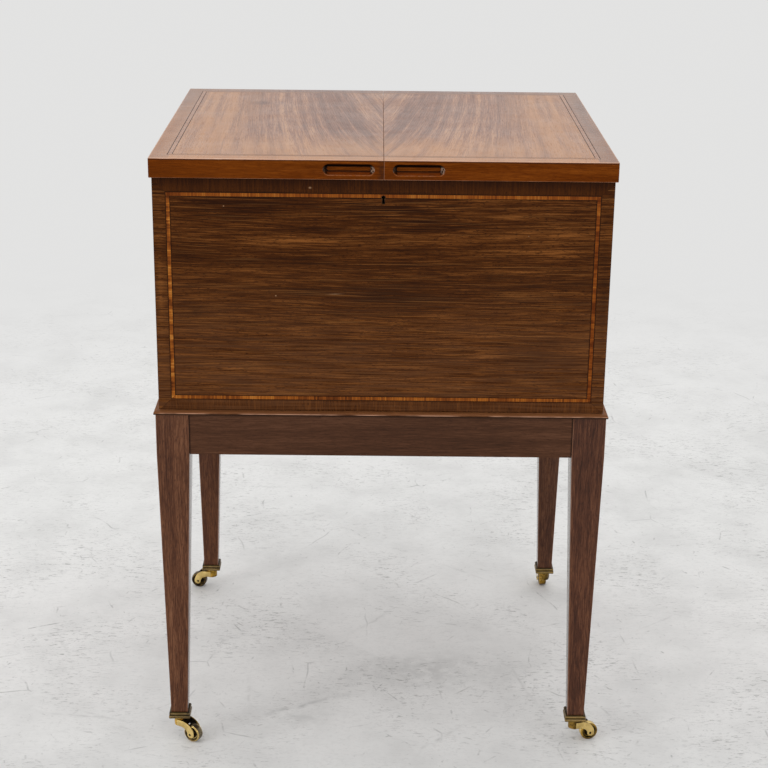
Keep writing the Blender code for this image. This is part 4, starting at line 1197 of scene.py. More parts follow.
def arc(centre: Flat, radius: float, start: float, end: float, steps: int) -> list[Flat]:
    """Points along an arc, both ends included.

    Args:
        centre: The arc's middle.
        radius: Its radius.
        start: Its first angle in degrees.
        end: Its last angle.
        steps: The steps that it is divided into.

    Returns:
        The points.
    """
    angles = [math.radians(start + (end - start) * i / steps) for i in range(steps + 1)]
    return [(centre[0] + radius * math.cos(a), centre[1] + radius * math.sin(a)) for a in angles]


def ring(centre: Flat, radius: float, steps: int) -> list[Flat]:
    """The points of a circle."""
    return arc(centre, radius, 0.0, 360.0 * (steps - 1) / steps, steps - 1)


def rounded(corners: Sequence[tuple[float, float, float]], steps: int = 3) -> list[Flat]:
    """An outline whose square corners are rounded.

    Args:
        corners: Each corner's place and radius, where a radius of 0 leaves it sharp.
        steps: The steps of each rounding.

    Returns:
        The points.
    """
    points: list[Flat] = []
    for i, (x, y, radius) in enumerate(corners):
        if radius <= 0:
            points.append((x, y))
            continue
        here = Vector((x, y))
        back = (Vector(corners[i - 1][:2]) - here).normalized()
        on = (Vector(corners[(i + 1) % len(corners)][:2]) - here).normalized()
        centre = here + radius * (back + on)
        for cos, sin in bend(steps):
            spot = centre - radius * (on * cos + back * sin)
            points.append((spot.x, spot.y))
    return points


def square(
    half_x: float, half_y: float, radius: float, centre: Flat = (0.0, 0.0), steps: int = 3,
) -> list[Flat]:
    """A rectangle with rounded corners.

    Args:
        half_x: Half its width.
        half_y: Half its depth.
        radius: The radius of its corners.
        centre: Its middle.
        steps: The steps of each rounding.

    Returns:
        The points.
    """
    x, y = centre
    corners = ((-1, -1), (1, -1), (1, 1), (-1, 1))
    return rounded([(x + sx * half_x, y + sy * half_y, radius) for sx, sy in corners], steps)


def turned(profile: Sequence[Flat], steps: int) -> Draft:
    """A shape turned about Z.

    Args:
        profile: Its radius and height from the bottom to the top.
        steps: The steps round it.

    Returns:
        The draft.
    """
    return Draft().skin([raised(ring((0.0, 0.0), radius, steps), height) for radius, height in profile])


def quarter(start: Flat, end: Flat, steps: int) -> list[Flat]:
    """A quarter of an ellipse that leaves start level and comes to end upright.

    Args:
        start: The first point.
        end: The last point.
        steps: The steps between them.

    Returns:
        The points, both ends included.
    """
    reach, rise = end[0] - start[0], start[1] - end[1]
    points = []
    for i in range(steps + 1):
        angle = math.pi / 2 * (1 - i / steps)
        points.append((start[0] + reach * math.cos(angle), end[1] + rise * math.sin(angle)))
    return points


def slotted_screw(radius: float, depth: float, turn: float, steps: int = 28) -> Draft:
    """A flat-headed screw's head with its slot, its face at height 0 and looking up.

    Args:
        radius: The head's radius.
        depth: The head's depth.
        turn: The slot's direction in degrees.
        steps: The steps round it.

    Returns:
        The draft.
    """
    head = turned([(radius * 0.62, -depth), (radius, -0.0002), (radius - 0.00012, 0.0)], steps)
    slot = block((-radius * 1.2, radius * 1.2), (-0.00032, 0.00032), (-depth * 0.55, 0.001))
    return head.carve(slot).moved(Matrix.Rotation(math.radians(turn), 4, "Z"))


Painter = Callable[[Vector, Vector], int]


class Workshop:
    """Where drafts become pieces in the cabinet's finishes."""

    def __init__(self) -> None:
        """Make every finish."""
        self.finishes = {finish.name: finish.make() for finish in FINISHES}

    def publish(
        self,
        name: str,
        draft: Draft,
        finishes: Sequence[str],
        body: str,
        slot: str,
        smoothing: Smoothing = Smoothing.JOINERY,
        paint: Painter | None = None,
        fastener: bool = False,
    ) -> None:
        """Make a piece of a draft.

        Args:
            name: The piece's name, which is also that of the solid that it stands for.
            draft: Its shape, which is used up.
            finishes: The names of its finishes.
            body: The body that it rides on.
            slot: The record's slot, which is not used.
            smoothing: How it is shaded.
            paint: Tells which of the finishes a face has, from its middle and the way it faces.
            fastener: True for a screw, which stands for no solid.
        """
        bm = draft.outward().bm
        for face in bm.faces:
            face.smooth = smoothing is Smoothing.ROUND or face.calc_area() < SMALL_FACE
            if paint:
                face.material_index = paint(face.calc_center_median(), face.normal)
        mesh = bpy.data.meshes.new(name)
        bm.to_mesh(mesh)
        bm.free()
        mesh.set_sharp_from_angle(angle=math.radians(SHARP_ANGLE))
        for finish in finishes:
            mesh.materials.append(self.finishes[finish])
        piece = placed(name, mesh)
        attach(piece, body)
        if not fastener:
            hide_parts(name)

    def screw(self, name: str, draft: Draft, seat: Matrix, brass: str, body: str, down: bool) -> None:
        """Make a screw of a slotted head.

        Args:
            name: Its name.
            draft: Its head.
            seat: Where its face is.
            brass: Its finish.
            body: The body that it rides on.
            down: True if it looks down.
        """
        draft.moved(seat @ Matrix.Rotation(math.pi if down else 0.0, 4, "X"))
        self.publish(name, draft, [brass], body, brass, Smoothing.ROUND, fastener=True)

    def dress(self, node: str, finish: str) -> None:
        """Give a CAD node that stays its finish."""
        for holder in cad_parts[node].material_slots:
            holder.material = self.finishes[finish]


# Sub-assemblies


@dataclass
class HingeSet:
    """Two brass butt hinges for each leaf of the lid, with their screws."""

    axis_x: float = 0.2970
    axis_z: float = 0.81935
    centre_y: float = 0.168
    length: float = 0.063
    leaf_width: float = 0.014
    leaf_thickness: float = 0.0011
    bed: float = 0.00015
    knuckle_radius: float = 0.0026
    knuckle_room: float = 0.0030
    pin_radius: float = 0.0010
    bore: float = 0.0013
    gap: float = 0.0003
    outside: float = 0.3035
    screw_radius: float = 0.0023
    screw_depth: float = 0.00095
    screw_line: float = 0.0084
    screw_spacing: float = 0.021
    corner: float = 0.0006
    overlap: float = 0.0004
    knuckle_ease: float = 0.0002
    pin_ease: float = 0.0003
    steps: int = 32
    brass: str = "hinge_brass"

    def rooms(self, sx: int, up: int, seat: float) -> list[Draft]:
        """The beds of a side's two hinges, to be carved from the lid or another board.

        Args:
            sx: -1 for the left side, 1 for the right.
            up: 1 for the beds in the lid, -1 for those in the case.
            seat: The height of the surface that they are let into.

        Returns:
            The shapes to carve.
        """
        rooms = []
        half = self.length / 2 + self.gap
        for sy in ENDS.values():
            span = (sy * self.centre_y - half, sy * self.centre_y + half)
            leaf = (sx * (self.axis_x - self.leaf_width - self.gap), sx * self.axis_x)
            level = (seat - up * self.gap, seat + up * (self.leaf_thickness + self.gap))
            rooms.append(block(leaf, span, level))
            knuckle = (sx * (self.axis_x - self.knuckle_room), sx * self.outside)
            level = (self.axis_z - up * self.gap, self.axis_z + up * self.knuckle_room)
            rooms.append(block(knuckle, span, level))
        return rooms

    def leaf(self, sx: int, up: int, knuckles: Sequence[Flat]) -> Draft:
        """One leaf about its own axis.

        Args:
            sx: -1 for the left side, 1 for the right.
            up: 1 for the lid's leaf, -1 for the case's.
            knuckles: The two ends of each knuckle that it carries.

        Returns:
            The draft.
        """
        half = self.length / 2
        tab = self.bore + (self.knuckle_radius - self.bore) / 3
        low, high = up * self.bed, up * (self.bed + self.leaf_thickness)
        middle = -sx * (self.leaf_width + self.knuckle_room) / 2
        plate = square((self.leaf_width - self.knuckle_room) / 2, half, self.corner, (middle, 0.0))
        draft = bar(plate, (low, high))
        for start, end in knuckles:
            reach = (-sx * (self.knuckle_room + self.overlap), -sx * tab)
            draft.fuse(block(reach, (start, end), (low, high)))
            draft.fuse(self._barrel(self.knuckle_radius, start, end, self.knuckle_ease))
        tools = [bar(ring((0.0, 0.0), self.bore, self.steps), (-half - self.gap, half + self.gap), "Y")]
        for place in self._screw_places(sx):
            hole = ring(place, self.screw_radius + SCREW_PLAY, self.steps)
            tools.append(bar(hole, (-up * CLEAR, up * 3 * CLEAR)))
        return draft.carve(*tools)

    def _barrel(self, radius: float, start: float, end: float, ease: float) -> Draft:
        """A round bar along Y with eased ends.

        Args:
            radius: Its radius.
            start: Its front end.
            end: Its back end.
            ease: How much its ends are eased.

        Returns:
            The draft.
        """
        loops = []
        for inset, y in ((ease, start), (0.0, start + ease), (0.0, end - ease), (ease, end)):
            loops.append([(x, y, z) for x, z in ring((0.0, 0.0), radius - inset, self.steps)])
        return Draft().skin(loops)

    def _screw_places(self, sx: int) -> list[Flat]:
        """The middles of a leaf's three screws about the hinge's axis."""
        return [(-sx * self.screw_line, i * self.screw_spacing) for i in (-1, 0, 1)]

    def build(self, shop: Workshop) -> None:
        """Make all four hinges.

        Args:
            shop: The workshop.
        """
        half, third = self.length / 2, self.length / 3
        outer = [(-half, -half + third - self.gap), (half - third + self.gap, half)]
        middle = [(-half + third, half - third)]
        for side, sx in SIDES.items():
            for end, sy in ENDS.items():
                name = f"hinge_{side}_{end}"
                shift = Matrix.Translation((sx * self.axis_x, sy * self.centre_y, self.axis_z))
                for kind, up, knuckles, body in (
                    ("case", -1, outer, "cabinet"), ("lid", 1, middle, f"lid_{side}"),
                ):
                    leaf = self.leaf(sx, up, knuckles).moved(shift)
                    shop.publish(f"{name}_{kind}_leaf", leaf, [self.brass], body, self.brass, Smoothing.ROUND)
                    for number, (x, y) in enumerate(self._screw_places(sx), start=1):
                        turn = 37.0 * number + 61.0 * (sx + 2 * sy) + 20.0 * up
                        head = slotted_screw(self.screw_radius, self.screw_depth, turn)
                        seat = shift @ Matrix.Translation((x, y, up * (self.bed + SCREW_SINK)))
                        shop.screw(f"{name}_{kind}_screw_{number}", head, seat, self.brass, body, up > 0)
                pin = self._barrel(self.pin_radius, -half, half, self.pin_ease).moved(shift)
                shop.publish(f"{name}_pin", pin, [self.brass], "cabinet", self.brass, Smoothing.ROUND)


@dataclass
class Lid:
    """One leaf of the lid: a veneered panel, its edging with the finger recess, and the stringing."""

    side: str
    underside: float = 0.8195
    top: float = 0.845
    seam: float = 0.0002
    half_width: float = 0.300
    half_depth: float = 0.263
    veneer: float = 0.0009
    core_x: float = 0.2872
    core_y: float = 0.2502
    edging_x: float = 0.2875
    edging_y: float = 0.2505
    core_corner: float = 0.0003
    core_gap: float = 0.0002
    arris: float = 0.0007
    arris_steps: int = 3
    corner: float = 0.0014
    band_x: float = 0.2782
    band_y: float = 0.2412
    band_width: float = 0.0069
    string: float = 0.0009
    band_depth: float = 0.0010
    recess_x: float = 0.0447
    recess_z: float = 0.83225
    recess_length: float = 0.067
    recess_reach: float = 0.0078
    recess_depth: float = 0.0085
    recess_lip: float = 0.0009
    recess_floor: float = 0.35
    striker_x: float = 0.012
    striker_half: Flat = (0.0093, 0.0048)
    striker_y: float = -0.24825
    striker_depth: float = 0.0017
    groove_play: float = 0.00004

    @property
    def sx(self) -> int:
        """-1 for the left leaf, 1 for the right."""
        return SIDES[self.side]

    def _outline(self, x0: float, x1: float, half_y: float, radius: float) -> list[Flat]:
        """A leaf's outline with its two outer corners rounded."""
        corners = [(x0, -half_y, 0.0), (x1, -half_y, radius), (x1, half_y, radius), (x0, half_y, 0.0)]
        return [(self.sx * x, y) for x, y in rounded(corners, 4)]

    def _u(self, inset: float) -> list[Flat]:
        """The edging's outline.

        Args:
            inset: How far its outer edge is drawn in.

        Returns:
            The points.
        """
        x, y, radius = self.half_width - inset, self.half_depth - inset, self.corner - inset / 2
        corners = [
            (self.seam, -y, 0.0), (x, -y, radius), (x, y, radius), (self.seam, y, 0.0),
            (self.seam, self.edging_y, 0.0), (self.edging_x, self.edging_y, 0.0),
            (self.edging_x, -self.edging_y, 0.0), (self.seam, -self.edging_y, 0.0),
        ]
        return [(self.sx * a, b) for a, b in rounded(corners, 4)]

    def panel(self, hinges: HingeSet) -> Draft:
        """The panel, whose veneer covers the edging up to the arris.

        Args:
            hinges: The hinges, for their beds.

        Returns:
            The draft.
        """
        step = self.top - self.veneer
        core = (self.seam + self.core_gap, self.core_x, self.core_y, self.core_corner)
        rows = [
            (self.underside, *core),
            (step, *core),
            (step, self.seam, self.half_width, self.half_depth, self.corner),
        ]
        for cos, sin in bend(self.arris_steps):
            inset = self.arris * (1 - cos)
            rows.append((self.top - self.arris * (1 - sin), self.seam + inset * 0.5, self.half_width - inset,
                         self.half_depth - inset, self.corner - inset / 2))
        draft = Draft().skin([raised(self._outline(*sizes), height) for height, *sizes in rows])
        low = self.top - self.band_depth - self.groove_play
        groove = self._stringing(self.groove_play, low, self.top + CLEAR / 2, self.seam - CLEAR)
        return draft.carve(groove, self._striker_room(), *hinges.rooms(self.sx, 1, self.underside))

    def edging(self, hinges: HingeSet) -> Draft:
        """The solid edging round three sides, with the finger recess.

        Args:
            hinges: The hinges, for their beds.

        Returns:
            The draft.
        """
        rows = [(self.arris * (1 - sin), self.underside + self.arris * (1 - cos))
                for cos, sin in bend(self.arris_steps)]
        rows.append((0.0, self.top - self.veneer - 0.0001))
        draft = Draft().skin([raised(self._u(inset), height) for inset, height in rows])
        return draft.carve(self._recess(), self._striker_room(), *hinges.rooms(self.sx, 1, self.underside))

    def _recess(self) -> Draft:
        """The finger recess.

        Returns:
            A scooped trough with round ends and a soft lip, to be carved.
        """
        front = -self.half_depth
        mouth = self.recess_reach - self.recess_lip
        rows = [(self.recess_reach + 0.00012, front - 0.0003)]
        for cos, sin in bend(4, first=1):
            rows.append((self.recess_reach - self.recess_lip * sin, front + self.recess_lip * (1 - cos)))
        for cos, sin in bend(10, first=1):
            depth = self.recess_lip + (self.recess_depth - self.recess_lip) * sin
            rows.append((mouth * (self.recess_floor + (1 - self.recess_floor) * cos), front + depth))
        straight = self.recess_length / 2 - self.recess_reach
        centre = self.sx * self.recess_x
        loops = []
        for reach, y in rows:
            outline = arc((straight, 0.0), reach, -90, 90, 14) + arc((-straight, 0.0), reach, 90, 270, 14)
            loops.append([(centre + x, y, self.recess_z + z) for x, z in outline])
        return Draft().skin(loops)

    def _striker_room(self) -> Draft:
        """The bed of the lock's striker plate."""
        x, (half_x, half_y) = self.sx * self.striker_x, self.striker_half
        return block((x - half_x, x + half_x), (self.striker_y - half_y, self.striker_y + half_y),
                     (self.underside - PLAY, self.underside + self.striker_depth))

    def _stringing(self, grow: float, low: float, high: float, start: float) -> Draft:
        """The stringing's U, or its groove when grown.

        Args:
            grow: How much wider than the stringing on each side.
            low: Its underside.
            high: Its top.
            start: How far from the middle its ends are.

        Returns:
            The draft.
        """
        width = self.band_width
        profile = [(-grow, low), (-grow, high), (self.string, high), (width - self.string, high),
                   (width + grow, high), (width + grow, low)]
        loops = []
        for x_part, y_part in ((0, -1), (1, -1), (1, 1), (0, 1)):
            loop = []
            for inward, z in profile:
                x = self.band_x - inward if x_part else start
                loop.append((self.sx * x, y_part * (self.band_y - inward), z))
            loops.append(loop)
        return Draft().skin(loops)

    def build(self, hinges: HingeSet, shop: Workshop) -> None:
        """Make the leaf's pieces.

        Args:
            hinges: The hinges, for their beds.
            shop: The workshop.
        """
        name = f"lid_{self.side}"
        under_veneer = self.top - self.veneer - 0.0001

        def panel_paint(middle: Vector, normal: Vector) -> int:
            """Which finish a face of the panel has.

            Args:
                middle: The face's middle.
                normal: The way it faces.

            Returns:
                0 for the veneer on top, 1 for the wood below, 2 for the arris with its painted highlight, 3
                for the veneer's edge below it, painted as a shade line.
            """
            if normal.z > 0.98 and middle.z > self.top - 0.0015:
                return 0
            if middle.z > under_veneer and normal.z > -0.5:
                return 2 if normal.z > 0.25 else 3
            return 1

        shop.publish(f"{name}_panel", self.panel(hinges),
                     ["lid_top_veneer", "lid_underside", "lid_arris_wear_and_highlight", "lid_edge_shadow_line"], name,
                     "lid_faded_mahogany", paint=panel_paint)

        def edging_paint(middle: Vector, normal: Vector) -> int:
            """Which finish a face of the edging has.

            Args:
                middle: The face's middle.
                normal: The way it faces.

            Returns:
                0 for front and back, 1 for the side, 2 for the recess, 3 for the underside, 4 for the lower
                arris, worn and with a painted highlight.
            """
            if middle.z < self.underside + self.arris and -0.95 < normal.z < -0.1:
                return 4
            if abs(middle.x) > self.edging_x and abs(middle.y) < self.edging_y + 0.011:
                return 1
            if normal.z < -0.9 and middle.z < self.underside + 0.003:
                return 3
            beside = abs(middle.z - self.recess_z) < 0.0085 and abs(abs(middle.x) - self.recess_x) < 0.0345
            return 2 if beside and middle.y < -0.25 and normal.y > -0.995 else 0

        shop.publish(f"{name}_edging", self.edging(hinges),
                     ["lid_edge_front_grain", "lid_edge_side_grain", "finger_recess", "lid_underside",
                      "lid_edge_arris_wear_and_highlight"], name, "lid_edge_mahogany", paint=edging_paint)

        def band_paint(middle: Vector, normal: Vector) -> int:
            """Which finish a face of the inlay has.

            Args:
                middle: The face's middle.
                normal: The way it faces.

            Returns:
                0 for the band, 1 for the dark strings on both its edges and 2 for the band's front run.
            """
            inward = min(self.band_x - abs(middle.x), self.band_y - abs(middle.y))
            if normal.z < 0.5 or not self.string < inward < self.band_width - self.string:
                return 1
            return 2 if middle.y < -self.band_y + self.band_width else 0

        band = self._stringing(0.0, self.top - self.band_depth, self.top, self.seam + 0.0001)
        shop.publish(f"{name}_inlay", band,
                     ["lid_band_veneer", "lid_dark_stringing", "lid_band_front_veneer"], name,
                     "lid_banding", paint=band_paint)


@dataclass
class Keyhole:
    """The keyhole's outline and its brass liner."""

    centre_z: float = 0.7958
    front: float = -0.2595
    radius: float = 0.0026
    length: float = 0.0083
    waist: float = 0.0014
    foot: float = 0.0018
    wall: float = 0.0003
    liner_depth: float = 0.0030
    proud: float = 0.00005

    def shape(self, grow: float, front: float, back: float) -> Draft:
        """A bar with the keyhole's outline along Y.

        Args:
            grow: How much wider than the keyhole all round.
            front: Its front end.
            back: Its back end.

        Returns:
            The draft.
        """
        radius, waist, foot = self.radius + grow, self.waist + grow, self.foot + grow
        foot_z = self.centre_z - (self.length - self.foot)
        shoulder = math.degrees(math.asin(waist / radius))
        outline = arc((0.0, self.centre_z), radius, -90 + shoulder, 270 - shoulder, 32)
        outline += arc((0.0, foot_z), foot, 180, 360, 12)
        return bar(outline, (front, back), "Y")

    def build(self, shop: Workshop) -> None:
        """Make the liner, with its worn rim and its inside painted dark as shade.

        Args:
            shop: The workshop.
        """
        liner = self.shape(self.wall, self.front - self.proud, self.front + self.liner_depth)
        liner.carve(self.shape(0.0, self.front - CLEAR, self.front + 2 * self.liner_depth))
        shop.publish("keyhole_escutcheon", liner, ["keyhole_worn_rim", "painted_shade_inside"], "cabinet",
                     "lock_brass", Smoothing.ROUND, paint=lambda middle, normal: 0 if normal.y < -0.9 else 1)


@dataclass
class Case:
    """The box: its boards, the banding in its front, and the cells for bottles."""

    front: float = -0.2595
    band_half_x: float = 0.2794
    band_top: float = 0.8007
    band_bottom: float = 0.5198
    band_width: float = 0.0057
    string: float = 0.0006
    band_depth: float = 0.0011
    boards: dict[str, str] = field(default_factory=lambda: {
        "case_front": "case_front_veneer", "case_back": "case_back_veneer",
        "case_left_side": "case_side_veneer", "case_right_side": "case_side_veneer",
        "case_bottom": "carcase_wood_across",
        "divider_long_1": "carcase_wood_across", "divider_long_2": "carcase_wood_across",
        "divider_cross_1": "carcase_wood_deep", "divider_cross_2": "carcase_wood_deep",
        "divider_cross_3": "carcase_wood_deep",
    })

    @property
    def band_middle_z(self) -> float:
        """The height of the banding's middle."""
        return (self.band_top + self.band_bottom) / 2

    @property
    def band_half_z(self) -> float:
        """Half the banding's height."""
        return (self.band_top - self.band_bottom) / 2

    def banding(self, keyhole: Keyhole) -> Draft:
        """The frame of banding between two dark strings.

        Args:
            keyhole: The keyhole that is cut through it.

        Returns:
            The draft.
        """
        middle, back = self.band_middle_z, self.front + self.band_depth
        width, string = self.band_width, self.string
        profile = [(0.0, back), (0.0, self.front), (string, self.front), (width - string, self.front),
                   (width, self.front), (width, back)]
        loops = []
        for inward, y in profile:
            x, z = self.band_half_x - inward, self.band_half_z - inward
            loops.append([(-x, y, middle - z), (x, y, middle - z), (x, y, middle + z), (-x, y, middle + z)])
        room = keyhole.shape(keyhole.wall + PLAY, self.front - CLEAR, self.front + 3 * CLEAR)
        return Draft().skin(loops, around=True).carve(room)

    def build(self, keyhole: Keyhole, shop: Workshop) -> None:
        """Dress the boards and make the banding.

        Args:
            keyhole: The keyhole that is cut through the banding.
            shop: The workshop.
        """
        for node, finish in self.boards.items():
            shop.dress(node, finish)

        def paint(spot: Vector, normal: Vector) -> int:
            """0 for the blocks, 1 for the dark strings on both edges and for all that isn't in front."""
            inward = min(self.band_half_x - abs(spot.x), self.band_half_z - abs(spot.z - self.band_middle_z))
            return 0 if normal.y < -0.5 and self.string < inward < self.band_width - self.string else 1

        shop.publish("case_front_inlay", self.banding(keyhole), ["front_banding_blocks", "dark_stringing"],
                     "cabinet", "front_banding", paint=paint)


@dataclass
class Stand:
    """Four tapering legs, four rails, and the moulding that the case sits in."""

    top: float = 0.4987
    rail_underside: float = 0.4420
    socket_top: float = 0.0458
    foot_bottom: float = 0.0393
    half_x: float = 0.3010
    half_y: float = 0.2640
    leg: float = 0.0440
    foot: float = 0.0234
    outer_taper: float = 0.0074
    arris: float = 0.0011
    top_ease: float = 0.0004
    rail_setback: float = 0.0015
    rail_thickness: float = 0.020
    tenon: Flat = (0.0206, 0.0086)
    tenon_shoulder: float = 0.0077
    spindle_room: float = 0.0044
    moulding_half: Flat = (0.2965, 0.2595)
    moulding_low: float = 0.4990
    moulding_high: float = 0.5045
    moulding_proud: float = 0.0068
    moulding_fillet: float = 0.0008
    moulding_nose: float = 0.0022
    moulding_inward: float = 0.0243

    def leg_draft(self, sx: int, sy: int) -> Draft:
        """One leg: square at the rails, tapered on all four sides below, with its mortises.

        Args:
            sx: -1 for the left side, 1 for the right.
            sy: -1 for the front, 1 for the back.

        Returns:
            The draft.
        """
        inner = self.leg - self.outer_taper - self.foot
        loops = []
        for height, out, into, radius in (
            (self.foot_bottom, self.outer_taper, inner, self.arris),
            (self.socket_top, self.outer_taper, inner, self.arris),
            (self.rail_underside, 0.0, 0.0, self.arris),
            (self.top - self.top_ease, 0.0, 0.0, self.arris),
            (self.top, self.top_ease, self.top_ease, self.arris - self.top_ease / 2),
        ):
            half = (self.leg - out - into) / 2
            centre = (sx * (self.half_x - out - half), sy * (self.half_y - out - half))
            loops.append(raised(square(half, half, radius, centre), height))
        height = (self.rail_underside + self.tenon_shoulder, self.top - self.tenon_shoulder)
        tools = []
        for swap in (False, True):
            ends, across = (self.half_y, self.half_x) if swap else (self.half_x, self.half_y)
            s_end, s_across = (sy, sx) if swap else (sx, sy)
            shoulder = ends - self.leg
            middle = across - self.rail_setback - self.rail_thickness / 2
            run = (s_end * (shoulder - 2 * CLEAR), s_end * (shoulder + self.tenon[0]))
            wide = (s_across * (middle - self.tenon[1] / 2), s_across * (middle + self.tenon[1] / 2))
            tools.append(block(wide, run, height) if swap else block(run, wide, height))
        half_foot = self.outer_taper + self.foot / 2
        room = ring((sx * (self.half_x - half_foot), sy * (self.half_y - half_foot)), self.spindle_room, 28)
        tools.append(bar(room, (self.foot_bottom - 0.0005, self.foot_bottom + 0.0021)))
        return Draft().skin(loops).carve(*tools)

    def moulding(self) -> Draft:
        """The moulded frame, with its curved upper edge.

        Returns:
            The draft.
        """
        low, high, proud = self.moulding_low, self.moulding_high, self.moulding_proud
        width = proud - self.moulding_fillet
        height = high - low - self.moulding_nose
        profile = [(-self.moulding_inward, low), (proud - 0.0005, low), (proud - 0.00015, low + 0.00015),
                   (proud, low + 0.0005)]
        for cos, sin in bend(18):
            profile.append((self.moulding_fillet + width * cos, high - height * (1 - sin)))
        profile.append((-self.moulding_inward, high))
        loops = []
        for outward, z in profile:
            x, y = self.moulding_half[0] + outward, self.moulding_half[1] + outward
            loops.append([(-x, -y, z), (x, -y, z), (x, y, z), (-x, y, z)])
        return Draft().skin(loops, around=True)

    def build(self, shop: Workshop) -> None:
        """Make the legs and the moulding, and dress the rails.

        Args:
            shop: The workshop.
        """
        def leg_paint(spot: Vector, normal: Vector) -> int:
            """Which finish a face of a leg has.

            Args:
                spot: The face's middle.
                normal: The way it faces.

            Returns:
                0 for the flats, 1 for the worn arrises, 2 for the sides that face each other.
            """
            if max(abs(normal.x), abs(normal.y), abs(normal.z)) < 0.995:
                return 1
            return 2 if abs(normal.x) > 0.9 and abs(spot.x) < self.half_x - self.foot else 0

        def moulding_paint(spot: Vector, normal: Vector) -> int:
            """0 for the frame's runs across, 1 for those from front to back."""
            x, y = self.moulding_half
            return 1 if abs(spot.x) - x > abs(spot.y) - y else 0

        for side, sx in SIDES.items():
            for end, sy in ENDS.items():
                name = f"leg_{end}_{side}"
                shop.publish(name, self.leg_draft(sx, sy),
                             [f"{name}_grain", "leg_worn_arris", "leg_inner_side"], "cabinet",
                             "stand_mahogany", paint=leg_paint)
        for end in ENDS:
            shop.dress(f"rail_{end}", "rail_grain_across")
        for side in SIDES:
            shop.dress(f"rail_{side}", "rail_grain_deep")
        shop.publish("stand_moulding", self.moulding(), ["moulding_grain_across", "moulding_grain_deep"],
                     "cabinet", "moulding_mahogany", Smoothing.ROUND, paint=moulding_paint)


class CasterPlace(Enum):
    """Where a caster stands, how it trails, and its finishes: cup, fork, wheel, the wheel's rings, tread."""

    FRONT_LEFT = (-1, -1, -30.0, "socket_tarnished_brass", "brass_bright", "wheel_tarnished_brass",
                  "brass_rubbed_edge", "wheel_greyed_brass")
    FRONT_RIGHT = (1, -1, 14.0, "socket_worn_brass", "brass_olive", "wheel_bright_brass", "brass_bright",
                   "brass_rubbed_edge")
    BACK_LEFT = (-1, 1, 170.0, "socket_tarnished_brass", "brass_bright", "wheel_tarnished_brass",
                 "wheel_tarnished_brass", "wheel_tarnished_brass")
    BACK_RIGHT = (1, 1, 90.0, "socket_worn_brass", "brass_olive", "wheel_bright_brass", "brass_bright",
                  "brass_bright")


